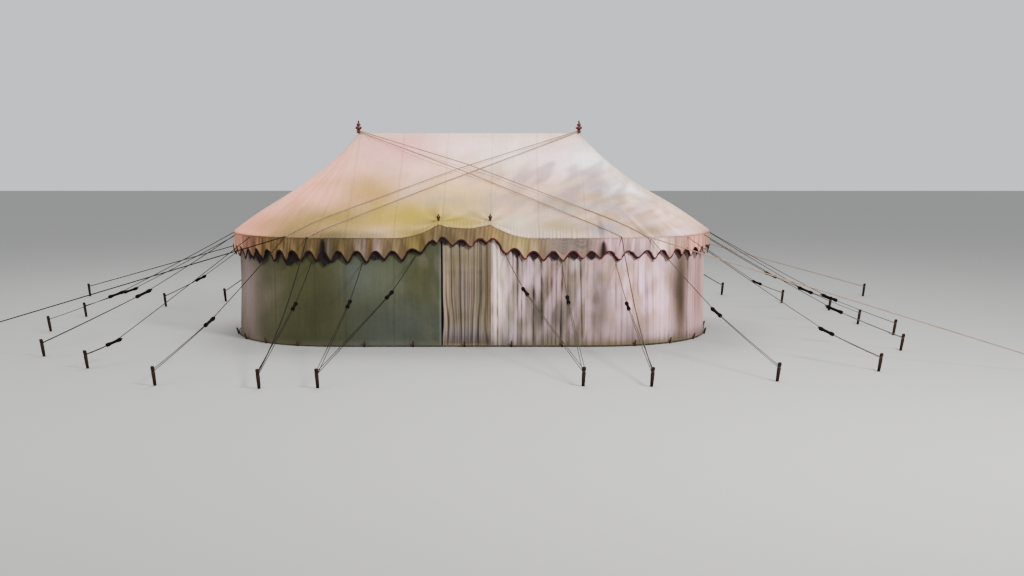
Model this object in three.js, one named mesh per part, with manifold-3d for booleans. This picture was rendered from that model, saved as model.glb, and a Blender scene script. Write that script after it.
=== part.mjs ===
// Campaign marquee tent: two poles and a ridge, a linen roof with rounded ends, walls, valance and guys.
// Millimetres, +Z up. The origin is on the ground midway between the two main poles.
// +X runs along the ridge, -Y is the side with the door.
import * as THREE from 'three';
import { mergeVertices } from 'three/addons/utils/BufferGeometryUtils.js';
import Module from 'manifold-3d';

const wasm = await Module();
wasm.setup();

// Driving dimensions
const tent = {
  poleX: 1640,
  ridgeZ: 2909,
  eaveZ: 1491,
  halfWidth: 2130,
  leftReach: 1808,
  rightReach: 1922,
  cornerPower: 2.3,
  sideHollow: 0.2,
  endHollow: 0.58
};
const cloth = { roof: 12, wall: 8, valance: 6, gap: 0.3, tuck: 1, poleLap: 4 };
const wallSet = { sideIn: 35, endIn: 60 };
const door = {
  poleX: 350,
  poleY: -2060,
  lift: 184,
  sag: 50,
  spread: 600,
  slitLeft: -326,
  curtainLeft: -298,
  curtainRight: 352,
  wallRight: 357
};
// The valance's drop at the top of an arch and at the tip of a lobe, away from the door and over it.
const valance = {
  arch: 180, lobe: 305, doorArch: 135, doorLobe: 250, pitch: 255.5, firstArch: -289, cuts: 4, merge: 12
};
const poles = { mainR: 36, ridgeR: 28, doorR: 18, spikeR: 7, holeR: 20, doorHoleR: 9, overhang: 8 };
const stake = {
  height: 230, neckZ: 175, neckR: 17, neckHalf: 8, bevel: 6, topR: 24, endR: 20, footR: 20, lean: 0.16
};
const slider = { length: 240, endR: 26, endLength: 46, waistR: 17, waistStart: 76 };
const rope = { guyR: 5.5, strandR: 4.5, stormR: 7.5, loopHalf: 16, sag: 100, cornerSag: 160 };
const peg = {
  height: 95, r: 14, tipR: 7, tipZ: 76, lean: 0.3, out: 15.5, ropeR: 7, ropeLift: 12,
  frontX: [-1360, -700, 0, 640, 1330], perEnd: 5, columnStep: 2
};
const sides = { rope: 4, storm: 6, round: 12, turned: 10, stake: 6, peg: 4 };

const looks = {
  linen: { color: 0xe0d3bb, roughness: 0.9, metalness: 0 },
  wallLinen: { color: 0xcfc4ae, roughness: 0.92, metalness: 0 },
  valanceLinen: { color: 0xb59a6c, roughness: 0.92, metalness: 0 },
  paleWood: { color: 0x9a7448, roughness: 0.7, metalness: 0 },
  stakeWood: { color: 0x4a382a, roughness: 0.75, metalness: 0 },
  turnedRed: { color: 0x551c20, roughness: 0.45, metalness: 0 },
  hemp: { color: 0x8d8070, roughness: 0.95, metalness: 0 }
};

const part = new THREE.Group();

function add(name, look, geometry) {
  const mesh = new THREE.Mesh(geometry, new THREE.MeshStandardMaterial(looks[look]));
  mesh.name = name;
  part.add(mesh);
}

// Closed solids

function positionsOnly(geometry) {
  const bare = geometry.clone();
  for (const key of Object.keys(bare.attributes)) {
    if (key !== 'position') bare.deleteAttribute(key);
  }
  return mergeVertices(bare, 1e-3);
}

function toSolid(geometry) {
  const merged = positionsOnly(geometry);
  const vertProperties = new Float32Array(merged.attributes.position.array);
  const corners = merged.index.array;
  const kept = [];
  for (let i = 0; i < corners.length; i += 3) {
    const [a, b, c] = corners.slice(i, i + 3);
    if (a !== b && b !== c && c !== a) kept.push(a, b, c);
  }
  return new wasm.Manifold(new wasm.Mesh({ numProp: 3, vertProperties, triVerts: new Uint32Array(kept) }));
}

function fromSolid(solid) {
  const mesh = solid.getMesh();
  const geometry = new THREE.BufferGeometry();
  geometry.setAttribute('position', new THREE.BufferAttribute(Float32Array.from(mesh.vertProperties), 3));
  geometry.setIndex(Array.from(mesh.triVerts));
  return geometry;
}

function joined(geometries) {
  return fromSolid(geometries.map(toSolid).reduce((all, one) => all.add(one)));
}

function bored(geometry, holes) {
  return fromSolid(holes.map(toSolid).reduce((left, hole) => left.subtract(hole), toSolid(geometry)));
}

// Turns the faces of a closed body outwards.
function outward(points, faces) {
  let volume = 0;
  const corner = (k) => new THREE.Vector3().fromArray(points, 3 * k);
  for (let i = 0; i < faces.length; i += 3) {
    volume += corner(faces[i]).dot(corner(faces[i + 1]).cross(corner(faces[i + 2])));
  }
  const geometry = new THREE.BufferGeometry();
  geometry.setAttribute('position', new THREE.Float32BufferAttribute(points, 3));
  geometry.setIndex(volume < 0 ? faces.reverse() : faces);
  return geometry;
}

// A sheet between an outer and an inner face, each a function of a column place and a row place.
function sheet(columnPlaces, rowPlaces, outer, inner) {
  const points = [];
  for (const face of [outer, inner]) {
    for (const column of columnPlaces) {
      for (const row of rowPlaces) points.push(...face(column, row).toArray());
    }
  }
  const columns = columnPlaces.length - 1;
  const rows = rowPlaces.length - 1;
  const at = (side, i, j) => (side * (columns + 1) + i) * (rows + 1) + j;
  const faces = [];
  const quad = (a, b, c, d) => faces.push(a, b, c, a, c, d);
  for (let i = 0; i < columns; i++) {
    for (let j = 0; j < rows; j++) {
      quad(at(0, i, j), at(0, i, j + 1), at(0, i + 1, j + 1), at(0, i + 1, j));
      quad(at(1, i, j), at(1, i + 1, j), at(1, i + 1, j + 1), at(1, i, j + 1));
    }
    quad(at(0, i, 0), at(0, i + 1, 0), at(1, i + 1, 0), at(1, i, 0));
    quad(at(0, i, rows), at(1, i, rows), at(1, i + 1, rows), at(0, i + 1, rows));
  }
  for (let j = 0; j < rows; j++) {
    quad(at(0, 0, j), at(1, 0, j), at(1, 0, j + 1), at(0, 0, j + 1));
    quad(at(0, columns, j), at(0, columns, j + 1), at(1, columns, j + 1), at(1, columns, j));
  }
  return outward(points, faces);
}

const evenly = (count) => Array.from({ length: count + 1 }, (_, i) => i / count);

// A straight bar of a regular section between two points.
function bar(from, to, radius, count) {
  const length = from.distanceTo(to);
  const geometry = new THREE.CylinderGeometry(radius, radius, length, count);
  const turn = new THREE.Quaternion().setFromUnitVectors(
    new THREE.Vector3(0, 1, 0), to.clone().sub(from).normalize());
  geometry.applyQuaternion(turn);
  const middle = from.clone().add(to).multiplyScalar(0.5);
  return geometry.translate(middle.x, middle.y, middle.z);
}

// A rope through a list of points, of a regular section, mitred at each bend.
function tube(path, radius, count) {
  const points = [];
  const rings = path.length;
  path.forEach((p, i) => {
    const into = p.clone().sub(path[Math.max(0, i - 1)]).normalize();
    const onward = path[Math.min(rings - 1, i + 1)].clone().sub(p).normalize();
    const along = into.add(onward).normalize();
    const aside = new THREE.Vector3(-along.y, along.x, 0).normalize();
    const up = along.clone().cross(aside).negate();
    for (let k = 0; k < count; k++) {
      const angle = (2 * Math.PI * k) / count;
      points.push(...p.clone().addScaledVector(aside, radius * Math.cos(angle))
        .addScaledVector(up, radius * Math.sin(angle)).toArray());
    }
  });
  points.push(...path[0].toArray(), ...path[rings - 1].toArray());
  const faces = [];
  for (let k = 0; k < count; k++) {
    const next = (k + 1) % count;
    for (let i = 0; i < rings - 1; i++) {
      const a = i * count;
      faces.push(a + k, a + next, a + count + next, a + k, a + count + next, a + count + k);
    }
    const last = (rings - 1) * count;
    faces.push(rings * count, next, k, rings * count + 1, last + k, last + next);
  }
  return outward(points, faces);
}

// A turned piece: profile pairs of (radius, height) on a vertical axis, leaned by so much per unit height.
function turned(profile, count, foot, lean = new THREE.Vector2(0, 0)) {
  const points = profile.map(([r, z]) => new THREE.Vector2(r, z));
  const geometry = new THREE.LatheGeometry(points, count).rotateX(Math.PI / 2);
  const spots = geometry.attributes.position;
  for (let i = 0; i < spots.count; i++) {
    const z = spots.getZ(i);
    spots.setXYZ(i, spots.getX(i) + foot.x + lean.x * z, spots.getY(i) + foot.y + lean.y * z, z + foot.z);
  }
  return geometry;
}

const V = (x, y, z) => new THREE.Vector3(x, y, z);

// Plan of the tent: straight sides, and ends as quarter super-ellipses about each pole.

function reachAt(x) {
  return x < 0 ? tent.leftReach : tent.rightReach;
}

function endPoint(side, angle, lessX, lessY) {
  const a = (side < 0 ? tent.leftReach : tent.rightReach) - lessX;
  const b = tent.halfWidth - lessY;
  const c = Math.cos(angle);
  const s = Math.sin(angle);
  const power = 2 / tent.cornerPower;
  return {
    x: side * (tent.poleX + a * Math.pow(Math.abs(c), power)),
    y: Math.sign(s) * b * Math.pow(Math.abs(s), power)
  };
}

// Columns along the front are closer together about the door.
const frontStops = [-1640, -1300, -950, -800, -680, -560, -450, -350, -230, 0,
  230, 350, 450, 560, 680, 800, 950, 1300, 1640];
const backStops = [-1640, -820, 0, 820, 1640];
// Rows run from the ridge to the eave, with a pair where the wall meets the roof.
const roofRows = [0, 0.18, 0.36, 0.54, 0.74, 0.965, 0.985, 1];
const endColumns = evenly(20);

// A value worked out at fixed places and straight between them, as the roof's flat faces are.
function straightBetween(places, at, value) {
  let i = 1;
  while (i < places.length - 1 && places[i] < at) i++;
  const share = (at - places[i - 1]) / (places[i] - places[i - 1]);
  return THREE.MathUtils.lerp(value(places[i - 1]), value(places[i]), share);
}

// How much of the door's lift reaches an x: all of it between the door poles, none beyond their spread.
function doorShare(x) {
  const off = Math.max(0, Math.abs(x) - door.poleX);
  return off < door.spread ? (1 - off / door.spread) ** 2 : 0;
}

// How far the eave is lifted at the door, by x.
function doorLift(x) {
  const sag = door.sag * Math.max(0, 1 - (x / door.poleX) ** 2);
  return door.lift * doorShare(x) - sag;
}

// Height of the roof's upper face at a plan point.
function roofZ(x, y) {
  const across = Math.abs(y) / tent.halfWidth;
  const along = Math.max(0, Math.abs(x) - tent.poleX) / reachAt(x);
  const n = tent.cornerPower;
  const s = Math.min(1, Math.pow(Math.pow(across, n) + Math.pow(along, n), 1 / n));
  const endShare = s > 0 ? along ** 2 / (along ** 2 + across ** 2) : 0;
  const hollow = tent.sideHollow + (tent.endHollow - tent.sideHollow) * endShare;
  const fall = straightBetween(roofRows, s, (row) => row + hollow * row * (1 - row) ** 2);
  const lift = y < 0 && Math.abs(x) < door.poleX + door.spread
    ? straightBetween(frontStops, x, doorLift) * straightBetween(roofRows, s, (row) => row * row) : 0;
  return tent.ridgeZ - (tent.ridgeZ - tent.eaveZ) * fall + lift;
}

const roofUnder = (x, y) => roofZ(x, y) - cloth.roof;

const besidePole = (x) => THREE.MathUtils.clamp(x, -tent.poleX + cloth.gap / 2, tent.poleX - cloth.gap / 2);

function roofSlope(side, stops) {
  const face = (height) => (stop, row) => {
    const x = besidePole(stop);
    const y = side * Math.max(cloth.gap / 2, row * tent.halfWidth);
    return V(x, y, height(x, y));
  };
  const body = sheet(stops, roofRows, face(roofZ), face(roofUnder));
  const holes = [-1, 1].map((end) => bar(V(end * tent.poleX, 0, tent.ridgeZ - 100),
    V(end * tent.poleX, 0, tent.ridgeZ + 100), poles.holeR, sides.round));
  if (side < 0) {
    for (const x of [-door.poleX, door.poleX]) {
      holes.push(bar(V(x, door.poleY, tent.eaveZ), V(x, door.poleY, tent.eaveZ + 400), poles.doorHoleR, 8));
    }
  }
  return bored(body, holes);
}

add('roof_front_slope', 'linen', roofSlope(-1, frontStops));
add('roof_back_slope', 'linen', roofSlope(1, backStops));

// A point on an end, on the ray of the eave at an angle from the ridge line, at a share of the way out.
function onHood(side, angle, share) {
  const rim = endPoint(side, angle, 0, 0);
  const out = Math.max(cloth.gap / 2, Math.abs(rim.x - side * tent.poleX) * share);
  return { x: side * (tent.poleX + out), y: rim.y * share };
}

function roofHood(side) {
  const inner = (poles.holeR + cloth.poleLap) / tent.rightReach;
  const face = (height) => (column, row) => {
    const { x, y } = onHood(side, (column - 0.5) * Math.PI, Math.max(inner, row));
    return V(x, y, height(x, y));
  };
  return sheet(endColumns, roofRows, face(roofZ), face(roofUnder));
}

add('roof_left_hood', 'linen', roofHood(-1));
add('roof_right_hood', 'linen', roofHood(1));

// Walls stand from the ground to just under the roof.

const wallRows = [0, 1];
const wallY = tent.halfWidth - wallSet.sideIn;

function wallTo(x, y, row) {
  return V(x, y, row > 0 ? roofUnder(x, y) - cloth.tuck : 0);
}

function flatWall(side, from, to, stops) {
  const columns = [from, ...stops.filter((x) => x > from && x < to), to];
  const face = (depth) => (x, row) => wallTo(x, side * (wallY - depth), row);
  return sheet(columns, wallRows, face(0), face(cloth.wall));
}

const besideEnd = tent.poleX - cloth.gap / 2;
add('wall_front_left', 'wallLinen', flatWall(-1, -besideEnd, door.slitLeft, frontStops));
add('wall_front_right', 'wallLinen', flatWall(-1, door.wallRight, besideEnd, frontStops));
add('door_curtain', 'linen', flatWall(-1, door.curtainLeft, door.curtainRight, frontStops));
add('wall_back', 'wallLinen', flatWall(1, -besideEnd, besideEnd, backStops));

// Share of the way out from the pole at which an end wall's face stands.
function wallShare(angle, depth) {
  const endwise = Math.cos(angle) ** 2;
  const side = (wallSet.sideIn + depth) / tent.halfWidth;
  return 1 - side - ((wallSet.endIn - wallSet.sideIn) / tent.rightReach) * endwise;
}

function wallEnd(side) {
  const face = (depth) => (column, row) => {
    const angle = (column - 0.5) * Math.PI;
    const { x, y } = onHood(side, angle, wallShare(angle, depth));
    return wallTo(x, y, row);
  };
  return sheet(endColumns, wallRows, face(0), face(cloth.wall));
}

add('wall_left_end', 'wallLinen', wallEnd(-1));
add('wall_right_end', 'wallLinen', wallEnd(1));

// Half of the tent's plan, front or back, from the left end's tip to the right's, at a share of the way out.
function halfLine(side, shareAt, y) {
  const half = [];
  const columns = endColumns.filter((column) => column >= 0.5);
  for (const column of columns) {
    const angle = (column - 0.5) * Math.PI;
    const spot = onHood(-1, side * angle, shareAt(angle));
    half.push(V(spot.x, spot.y, 0));
  }
  half[half.length - 1].x = -tent.poleX;
  half.push(V(tent.poleX, side * y, 0));
  for (const column of columns.reverse().slice(1)) {
    const angle = (column - 0.5) * Math.PI;
    const spot = onHood(1, side * angle, shareAt(angle));
    half.push(V(spot.x, spot.y, 0));
  }
  return half;
}

// A line moved outwards by a distance, mitred at its corners.
function movedOut(line, side, distance) {
  const normals = line.slice(1).map((p, i) => {
    const run = p.clone().sub(line[i]).normalize();
    return V(run.y, -run.x, 0).multiplyScalar(-side);
  });
  return line.map((p, i) => {
    const before = normals[Math.max(0, i - 1)];
    const after = normals[Math.min(normals.length - 1, i)];
    const middle = before.clone().add(after).normalize();
    return p.clone().addScaledVector(middle, distance / middle.dot(after));
  });
}

function runAlong(line) {
  const lengths = [0];
  for (let i = 1; i < line.length; i++) lengths.push(lengths[i - 1] + line[i].distanceTo(line[i - 1]));
  return lengths;
}

// Valance: a scalloped band hung from the roof's edge, as a front and a back length.

function valanceHalf(side) {
  const rim = halfLine(side, () => 1, tent.halfWidth);
  const run = runAlong(rim);
  const total = run[run.length - 1];
  const corners = run.filter((at) => at > 0 && at < total);
  const leftPole = run[rim.findIndex((p) => p.x === -tent.poleX)];
  const anchor = leftPole + tent.poleX + valance.firstArch;
  const step = valance.pitch / valance.cuts;
  const cuts = [0, total];
  for (let at = anchor - step * Math.floor(anchor / step); at < total; at += step) {
    if (run.every((corner) => Math.abs(corner - at) > valance.merge)) cuts.push(at);
  }
  const columns = cuts.concat(corners).sort((a, b) => a - b);
  const face = (out) => {
    const line = movedOut(rim, side, out);
    line[0].y = (side * cloth.gap) / 2;
    line[line.length - 1].y = (side * cloth.gap) / 2;
    const tops = rim.map((p) => roofZ(p.x, p.y));
    return (at, row) => {
      const spot = V(straightBetween(run, at, (place) => line[run.indexOf(place)].x),
        straightBetween(run, at, (place) => line[run.indexOf(place)].y), 0);
      const top = straightBetween(run, at, (place) => tops[run.indexOf(place)]);
      const edge = side < 0 && Math.abs(spot.x) < tent.poleX ? roofZ(spot.x, -tent.halfWidth) : top;
      const atDoor = side < 0 ? doorShare(spot.x) : 0;
      const arch = THREE.MathUtils.lerp(valance.arch, valance.doorArch, atDoor);
      const lobe = THREE.MathUtils.lerp(valance.lobe, valance.doorLobe, atDoor);
      const wave = 0.5 - 0.5 * Math.cos((2 * Math.PI * (at - anchor)) / valance.pitch);
      return spot.setZ(edge - (row > 0 ? 0 : THREE.MathUtils.lerp(arch, lobe, wave)));
    };
  };
  return sheet(columns, wallRows, face(cloth.gap + cloth.valance), face(cloth.gap));
}

add('valance_front', 'valanceLinen', valanceHalf(-1));
add('valance_back', 'valanceLinen', valanceHalf(1));

// Poles and finials

const ridgeFlat = Math.cos(Math.PI / sides.round);

// The ridge pole lies as high as the canvas lets it.
function ridgeMiddle() {
  let middle = Infinity;
  for (let k = 0; k < 3; k++) {
    const angle = ((2 * k + 1) * Math.PI) / sides.round;
    const under = roofUnder(0, poles.ridgeR * Math.sin(angle));
    middle = Math.min(middle, under - poles.ridgeR * Math.cos(angle));
  }
  return middle - 0.4;
}

const ridgeTop = ridgeMiddle() + poles.ridgeR * ridgeFlat;

function ridgePole() {
  const geometry = new THREE.CylinderGeometry(poles.ridgeR, poles.ridgeR,
    2 * (tent.poleX + poles.overhang), sides.round);
  geometry.rotateY(Math.PI / sides.round);
  geometry.rotateZ(Math.PI / 2);
  return geometry.translate(0, 0, ridgeTop - poles.ridgeR * ridgeFlat);
}

add('ridge_pole', 'paleWood', ridgePole());

const ridgeUnder = ridgeTop - 2 * poles.ridgeR * ridgeFlat;
for (const [name, side] of [['left', -1], ['right', 1]]) {
  add(`main_pole_${name}`, 'paleWood', turned(
    [[0, 0], [poles.mainR, 0], [poles.mainR, ridgeUnder - 60], [poles.ridgeR, ridgeUnder - cloth.gap],
      [0, ridgeUnder - cloth.gap]],
    sides.round, V(side * tent.poleX, 0, 0)));
}

// Ridge finial: a spike through the canvas, a neck for the rope eyes, an urn, a small bulb and a tip.
// Pairs of radius and height above the canvas.
const spikeFoot = ridgeTop + cloth.gap - tent.ridgeZ;
const ridgeFinial = [
  [0, spikeFoot], [poles.spikeR, spikeFoot], [poles.spikeR, 2], [20, 4], [20, 40], [26, 42], [27, 48],
  [18, 54], [30, 62], [46, 74], [50, 84], [44, 96], [22, 108], [19, 113], [26, 122], [28, 131], [22, 141],
  [11, 150], [8, 162], [5, 176], [3, 186], [0, 189]
];
for (const [name, side] of [['left', -1], ['right', 1]]) {
  const top = V(side * tent.poleX, 0, tent.ridgeZ);
  add(`ridge_finial_${name}`, 'turnedRed', turned(ridgeFinial, sides.turned, top));
}

function doorPoleTop() {
  let top = Infinity;
  for (let k = 0; k < 12; k++) {
    const angle = (k * Math.PI) / 6;
    top = Math.min(top, roofUnder(door.poleX + poles.doorR * Math.cos(angle),
      door.poleY + poles.doorR * Math.sin(angle)));
  }
  return top - 0.4;
}

const doorTop = doorPoleTop();
const doorCanvas = roofZ(door.poleX, door.poleY);
// Door finial: a spike through the canvas, a washer, a ball and a tip, as pairs of radius and height.
const doorFinial = [[0, doorTop + cloth.gap], [6, doorTop + cloth.gap]].concat([
  [6, 14], [24, 16], [25, 22], [12, 30], [24, 44], [28, 60], [22, 74], [9, 84], [10, 92], [3, 104], [0, 112]
].map(([r, up]) => [r, doorCanvas + up]));
for (const [name, side] of [['left', -1], ['right', 1]]) {
  add(`door_pole_${name}`, 'paleWood', turned(
    [[0, 0], [poles.doorR, 0], [poles.doorR, doorTop], [0, doorTop]],
    sides.round, V(side * door.poleX, door.poleY, 0)));
  const top = V(side * door.poleX, door.poleY, 0);
  add(`door_finial_${name}`, 'turnedRed', turned(doorFinial, sides.turned, top));
}

// Foot rope and pegs: a rope round the wall's foot that carries the wall pegs.

function footLine(side) {
  const wall = halfLine(side, (angle) => wallShare(angle, 0), wallY);
  const along = movedOut(wall, side, peg.ropeR + cloth.gap);
  const z = peg.ropeR + peg.ropeLift;
  const pieces = [tube(along.map((p) => p.clone().setZ(z)), peg.ropeR, sides.peg)];
  const spots = movedOut(wall, side, peg.out);
  const fromTip = (i) => Math.min(i, spots.length - 1 - i);
  const ends = spots.filter((p, i) => fromTip(i) % peg.columnStep === 0
    && fromTip(i) < peg.perEnd * peg.columnStep);
  const front = peg.frontX.map((x) => V(x, side * (wallY + peg.out), 0));
  for (const spot of ends.concat(front)) {
    const middle = Math.sign(spot.x) * Math.min(Math.abs(spot.x), tent.poleX);
    const away = new THREE.Vector2(spot.x - middle, spot.y).normalize().multiplyScalar(peg.lean);
    if (Math.abs(spot.y) < peg.out) spot.y = side * (peg.r + cloth.gap);
    pieces.push(turned([[0, 0], [peg.r, 0], [peg.r, peg.tipZ], [peg.tipR, peg.height], [0, peg.height]],
      sides.peg, spot, away));
  }
  return joined(pieces);
}

add('foot_rope_front', 'stakeWood', footLine(-1));
add('foot_rope_back', 'stakeWood', footLine(1));

// Guys: each is a stake with its ropes. A rope runs down to its slider, then on as a loop round the stake.

function stakeBody(foot) {
  const away = new THREE.Vector2(foot.x, foot.y).normalize().multiplyScalar(stake.lean);
  const low = stake.neckZ - stake.neckHalf;
  const high = stake.neckZ + stake.neckHalf;
  return turned([[0, 0], [stake.footR, 0], [stake.topR, low - stake.bevel], [stake.neckR, low],
    [stake.neckR, high], [stake.topR, high + stake.bevel], [stake.endR, stake.height],
    [0, stake.height]], sides.stake, foot, away);
}

function stakeNeck(foot) {
  const away = new THREE.Vector2(foot.x, foot.y).normalize().multiplyScalar(stake.lean * stake.neckZ);
  return V(foot.x + away.x, foot.y + away.y, stake.neckZ);
}

function sliderBody(middle, along) {
  const half = slider.length / 2;
  const end = half - slider.endLength;
  const waist = half - slider.waistStart;
  const geometry = new THREE.LatheGeometry([[0, -half], [slider.endR, -half], [slider.endR, -end],
    [slider.waistR, -waist], [slider.waistR, waist], [slider.endR, end], [slider.endR, half],
    [0, half]].map(([r, z]) => new THREE.Vector2(r, z)), sides.stake);
  geometry.applyQuaternion(new THREE.Quaternion().setFromUnitVectors(V(0, 1, 0), along));
  return geometry.translate(middle.x, middle.y, middle.z);
}

// A guy from a place on the tent: its slider hangs a little below the straight line to the stake.
function guyPieces(hold, foot, share) {
  const neck = stakeNeck(foot);
  const middle = hold.spot.clone().lerp(neck, share);
  middle.z -= rope.sag;
  const along = neck.clone().sub(middle).normalize();
  const aside = V(-along.y, along.x, 0).normalize().multiplyScalar(rope.loopHalf);
  const pieces = [bar(offFace(hold, middle), middle, rope.guyR, sides.rope), sliderBody(middle, along)];
  for (const way of [-1, 1]) {
    const start = middle.clone().addScaledVector(aside, way * 0.4);
    pieces.push(bar(start, neck.clone().addScaledVector(aside, way), rope.strandR, sides.rope));
  }
  return pieces;
}

// The top end of a rope that runs to a lower point: it stands just off the flat face that holds it.
function offFace(hold, lower) {
  const square = lower.clone().sub(hold.spot).normalize().dot(hold.out);
  return hold.spot.clone().addScaledVector(hold.out, rope.guyR * Math.sqrt(1 - square * square) + cloth.gap);
}

// A place on the straight wall, where a rope is made fast behind the valance, and the way that it faces.
function wallHold(x, back, z) {
  return { spot: V(x, back * wallY, z), out: V(0, back, 0) };
}

// The same on an end's flat faces, at a share of the way out and so far off them.
function endHold(side, angle, z, shareAt, off) {
  const column = angle / Math.PI + 0.5;
  const face = (place) => {
    const at = (place - 0.5) * Math.PI;
    return onHood(side, at, shareAt(at));
  };
  const spot = V(straightBetween(endColumns, column, (place) => face(place).x),
    straightBetween(endColumns, column, (place) => face(place).y), z);
  const i = Math.min(endColumns.length - 2, Math.floor(column * (endColumns.length - 1)));
  const a = face(endColumns[i]);
  const b = face(endColumns[i + 1]);
  const out = V(side * (b.y - a.y), side * (a.x - b.x), 0).normalize();
  return { spot: spot.addScaledVector(out, off), out };
}

// Storm rope: from a pole's neck over the canvas like a taut string, then on to its stake.
// A rope laid later passes over those that it crosses.
const storm = {
  lift: 14, edge: { corner: 11.5, far: 10 }, start: { corner: 16, far: 32 },
  sag: { corner: rope.cornerSag, far: 0 }, neckGap: 23, crossGap: 4.4, slack: 0.8, samples: 60
};
const laid = [];

// Where the plan lines of two ropes cross, as shares along each, or null.
function crossing(one, other) {
  const d1 = one.to.clone().sub(one.from);
  const d2 = other.to.clone().sub(other.from);
  const gap = other.from.clone().sub(one.from);
  const turn = d1.cross(d2);
  const t = gap.cross(d2) / turn;
  const u = gap.cross(d1) / turn;
  return t > 0 && t < 1 && u > 0 && u < 1 ? { t, u } : null;
}

function heightAt(path, plan) {
  const run = (p) => Math.hypot(p.x - path[0].x, p.y - path[0].y);
  const at = run(plan);
  let i = 1;
  while (i < path.length - 1 && run(path[i]) < at) i++;
  const share = (at - run(path[i - 1])) / (run(path[i]) - run(path[i - 1]));
  return THREE.MathUtils.lerp(path[i - 1].z, path[i].z, share);
}

function stormPieces(poleSide, kind, eave, foot) {
  const from = new THREE.Vector2(poleSide * tent.poleX, 0);
  const to = new THREE.Vector2(eave.x, eave.y);
  const first = storm.neckGap / from.distanceTo(to);
  from.lerp(to, first);
  const line = { from, to };
  const shares = evenly(storm.samples);
  const over = new Map();
  for (const other of laid) {
    const meet = crossing(line, other);
    if (!meet) continue;
    const spot = from.clone().lerp(to, meet.t);
    over.set(meet.t, heightAt(other.path, spot) + 2 * rope.stormR + storm.crossGap);
    shares.push(meet.t);
  }
  shares.sort((a, b) => a - b);
  const samples = shares.map((t) => {
    const spot = from.clone().lerp(to, t);
    return V(spot.x, spot.y, Math.max(roofZ(spot.x, spot.y) + storm.lift, over.get(t) || 0));
  });
  samples[0].z = tent.ridgeZ + storm.start[kind];
  samples[samples.length - 1].z = roofZ(to.x, to.y) + storm.edge[kind];
  const taut = [];
  for (const p of samples) {
    while (taut.length > 1 && !bends(taut[taut.length - 2], taut[taut.length - 1], p)) taut.pop();
    taut.push(p);
  }
  laid.push({ from, to, path: taut });
  const neck = stakeNeck(foot);
  const middle = taut[taut.length - 1].clone().lerp(neck, 0.5);
  middle.z -= storm.sag[kind];
  return [tube(taut.concat(middle, neck), rope.stormR, sides.storm)];
}

// True where b stands above the straight line from a to c.
function bends(a, b, c) {
  const ab = Math.hypot(b.x - a.x, b.y - a.y);
  const ac = Math.hypot(c.x - a.x, c.y - a.y);
  return b.z - a.z > ((c.z - a.z) * ab) / ac + storm.slack;
}

const guys = [
  { name: 'guy_front_left_door', foot: [-1560, -5330], holds: [[-657, 1246, 0.305], [-1383, 1142, 0.34]] },
  { name: 'guy_front_left_corner', foot: [-2220, -5360], holds: [[-2083, 1149, 0.365]], storm: 1 },
  { name: 'guy_front_right_door', foot: [1460, -5200], holds: [[550, 1271, 0.29], [1316, 1176, 0.32]] },
  { name: 'guy_front_right_corner', foot: [2240, -5230], holds: [[2063, 1136, 0.36]], storm: -1 },
  { name: 'guy_back_left_inner', foot: [-1560, 5330], holds: [[-657, 1150, 0.305], [-1383, 1142, 0.34]] },
  { name: 'guy_back_left_corner', foot: [-2220, 5360], holds: [[-2083, 1149, 0.365]], storm: 1 },
  { name: 'guy_back_right_inner', foot: [1460, 5200], holds: [[550, 1150, 0.29], [1316, 1150, 0.32]] },
  { name: 'guy_back_right_corner', foot: [2240, 5230], holds: [[2063, 1136, 0.36]], storm: -1 }
];
const endGuys = [
  { name: 'guy_right_end_1', side: 1, foot: [3740, -4880], angle: -65.5, share: 0.55 },
  { name: 'guy_right_end_2', side: 1, foot: [5110, -4160], angle: -44, share: 0.745 },
  { name: 'guy_right_end_3', side: 1, foot: [5850, -2430], angle: -27, share: 0.67 },
  { name: 'guy_right_end_4', side: 1, foot: [6160, -900], angle: -10, share: 0.65 },
  { name: 'guy_right_end_5', side: 1, foot: [5940, 310], angle: 5, share: 0.65 },
  { name: 'guy_right_end_6', side: 1, foot: [5900, 2110], angle: 24, share: 0.565 },
  { name: 'guy_right_end_7', side: 1, foot: [5320, 3200], angle: 38, share: 0.75 },
  { name: 'guy_right_end_8', side: 1, foot: [4470, 4480], angle: 56, share: 0.6 },
  { name: 'guy_left_end_1', side: -1, foot: [-3450, -5160], angle: -66, share: 0.61 },
  { name: 'guy_left_end_2', side: -1, foot: [-4590, -3930], angle: -44, share: 0.845 },
  { name: 'guy_left_end_3', side: -1, foot: [-5450, -2950], angle: -25, share: 0.5 },
  { name: 'guy_left_end_4', side: -1, foot: [-6160, -500], angle: -6, share: 0.64 },
  { name: 'guy_left_end_5', side: -1, foot: [-6160, 1250], angle: 14, share: 0.715 },
  { name: 'guy_left_end_6', side: -1, foot: [-5230, 2660], angle: 34, share: 0.65 },
  { name: 'guy_left_end_7', side: -1, foot: [-4370, 3430], angle: 52, share: 0.6 }
];

const eaveHoldZ = tent.eaveZ - 28;
const cornerEaveX = 2130;

for (const guy of guys) {
  const foot = V(guy.foot[0], guy.foot[1], 0);
  const back = Math.sign(foot.y);
  let pieces = [stakeBody(foot)];
  for (const [x, z, share] of guy.holds) {
    const hold = Math.abs(x) > tent.poleX
      ? endHold(Math.sign(x), back * endAngle(x), z, (angle) => wallShare(angle, 0), 0)
      : wallHold(x, back, z);
    pieces = pieces.concat(guyPieces(hold, foot, share));
  }
  if (guy.storm) {
    const eaveX = -guy.storm * cornerEaveX;
    pieces = pieces.concat(stormPieces(guy.storm, 'corner', V(eaveX, back * eaveY(eaveX), 0), foot));
  }
  add(guy.name, 'hemp', joined(pieces));
}

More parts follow.
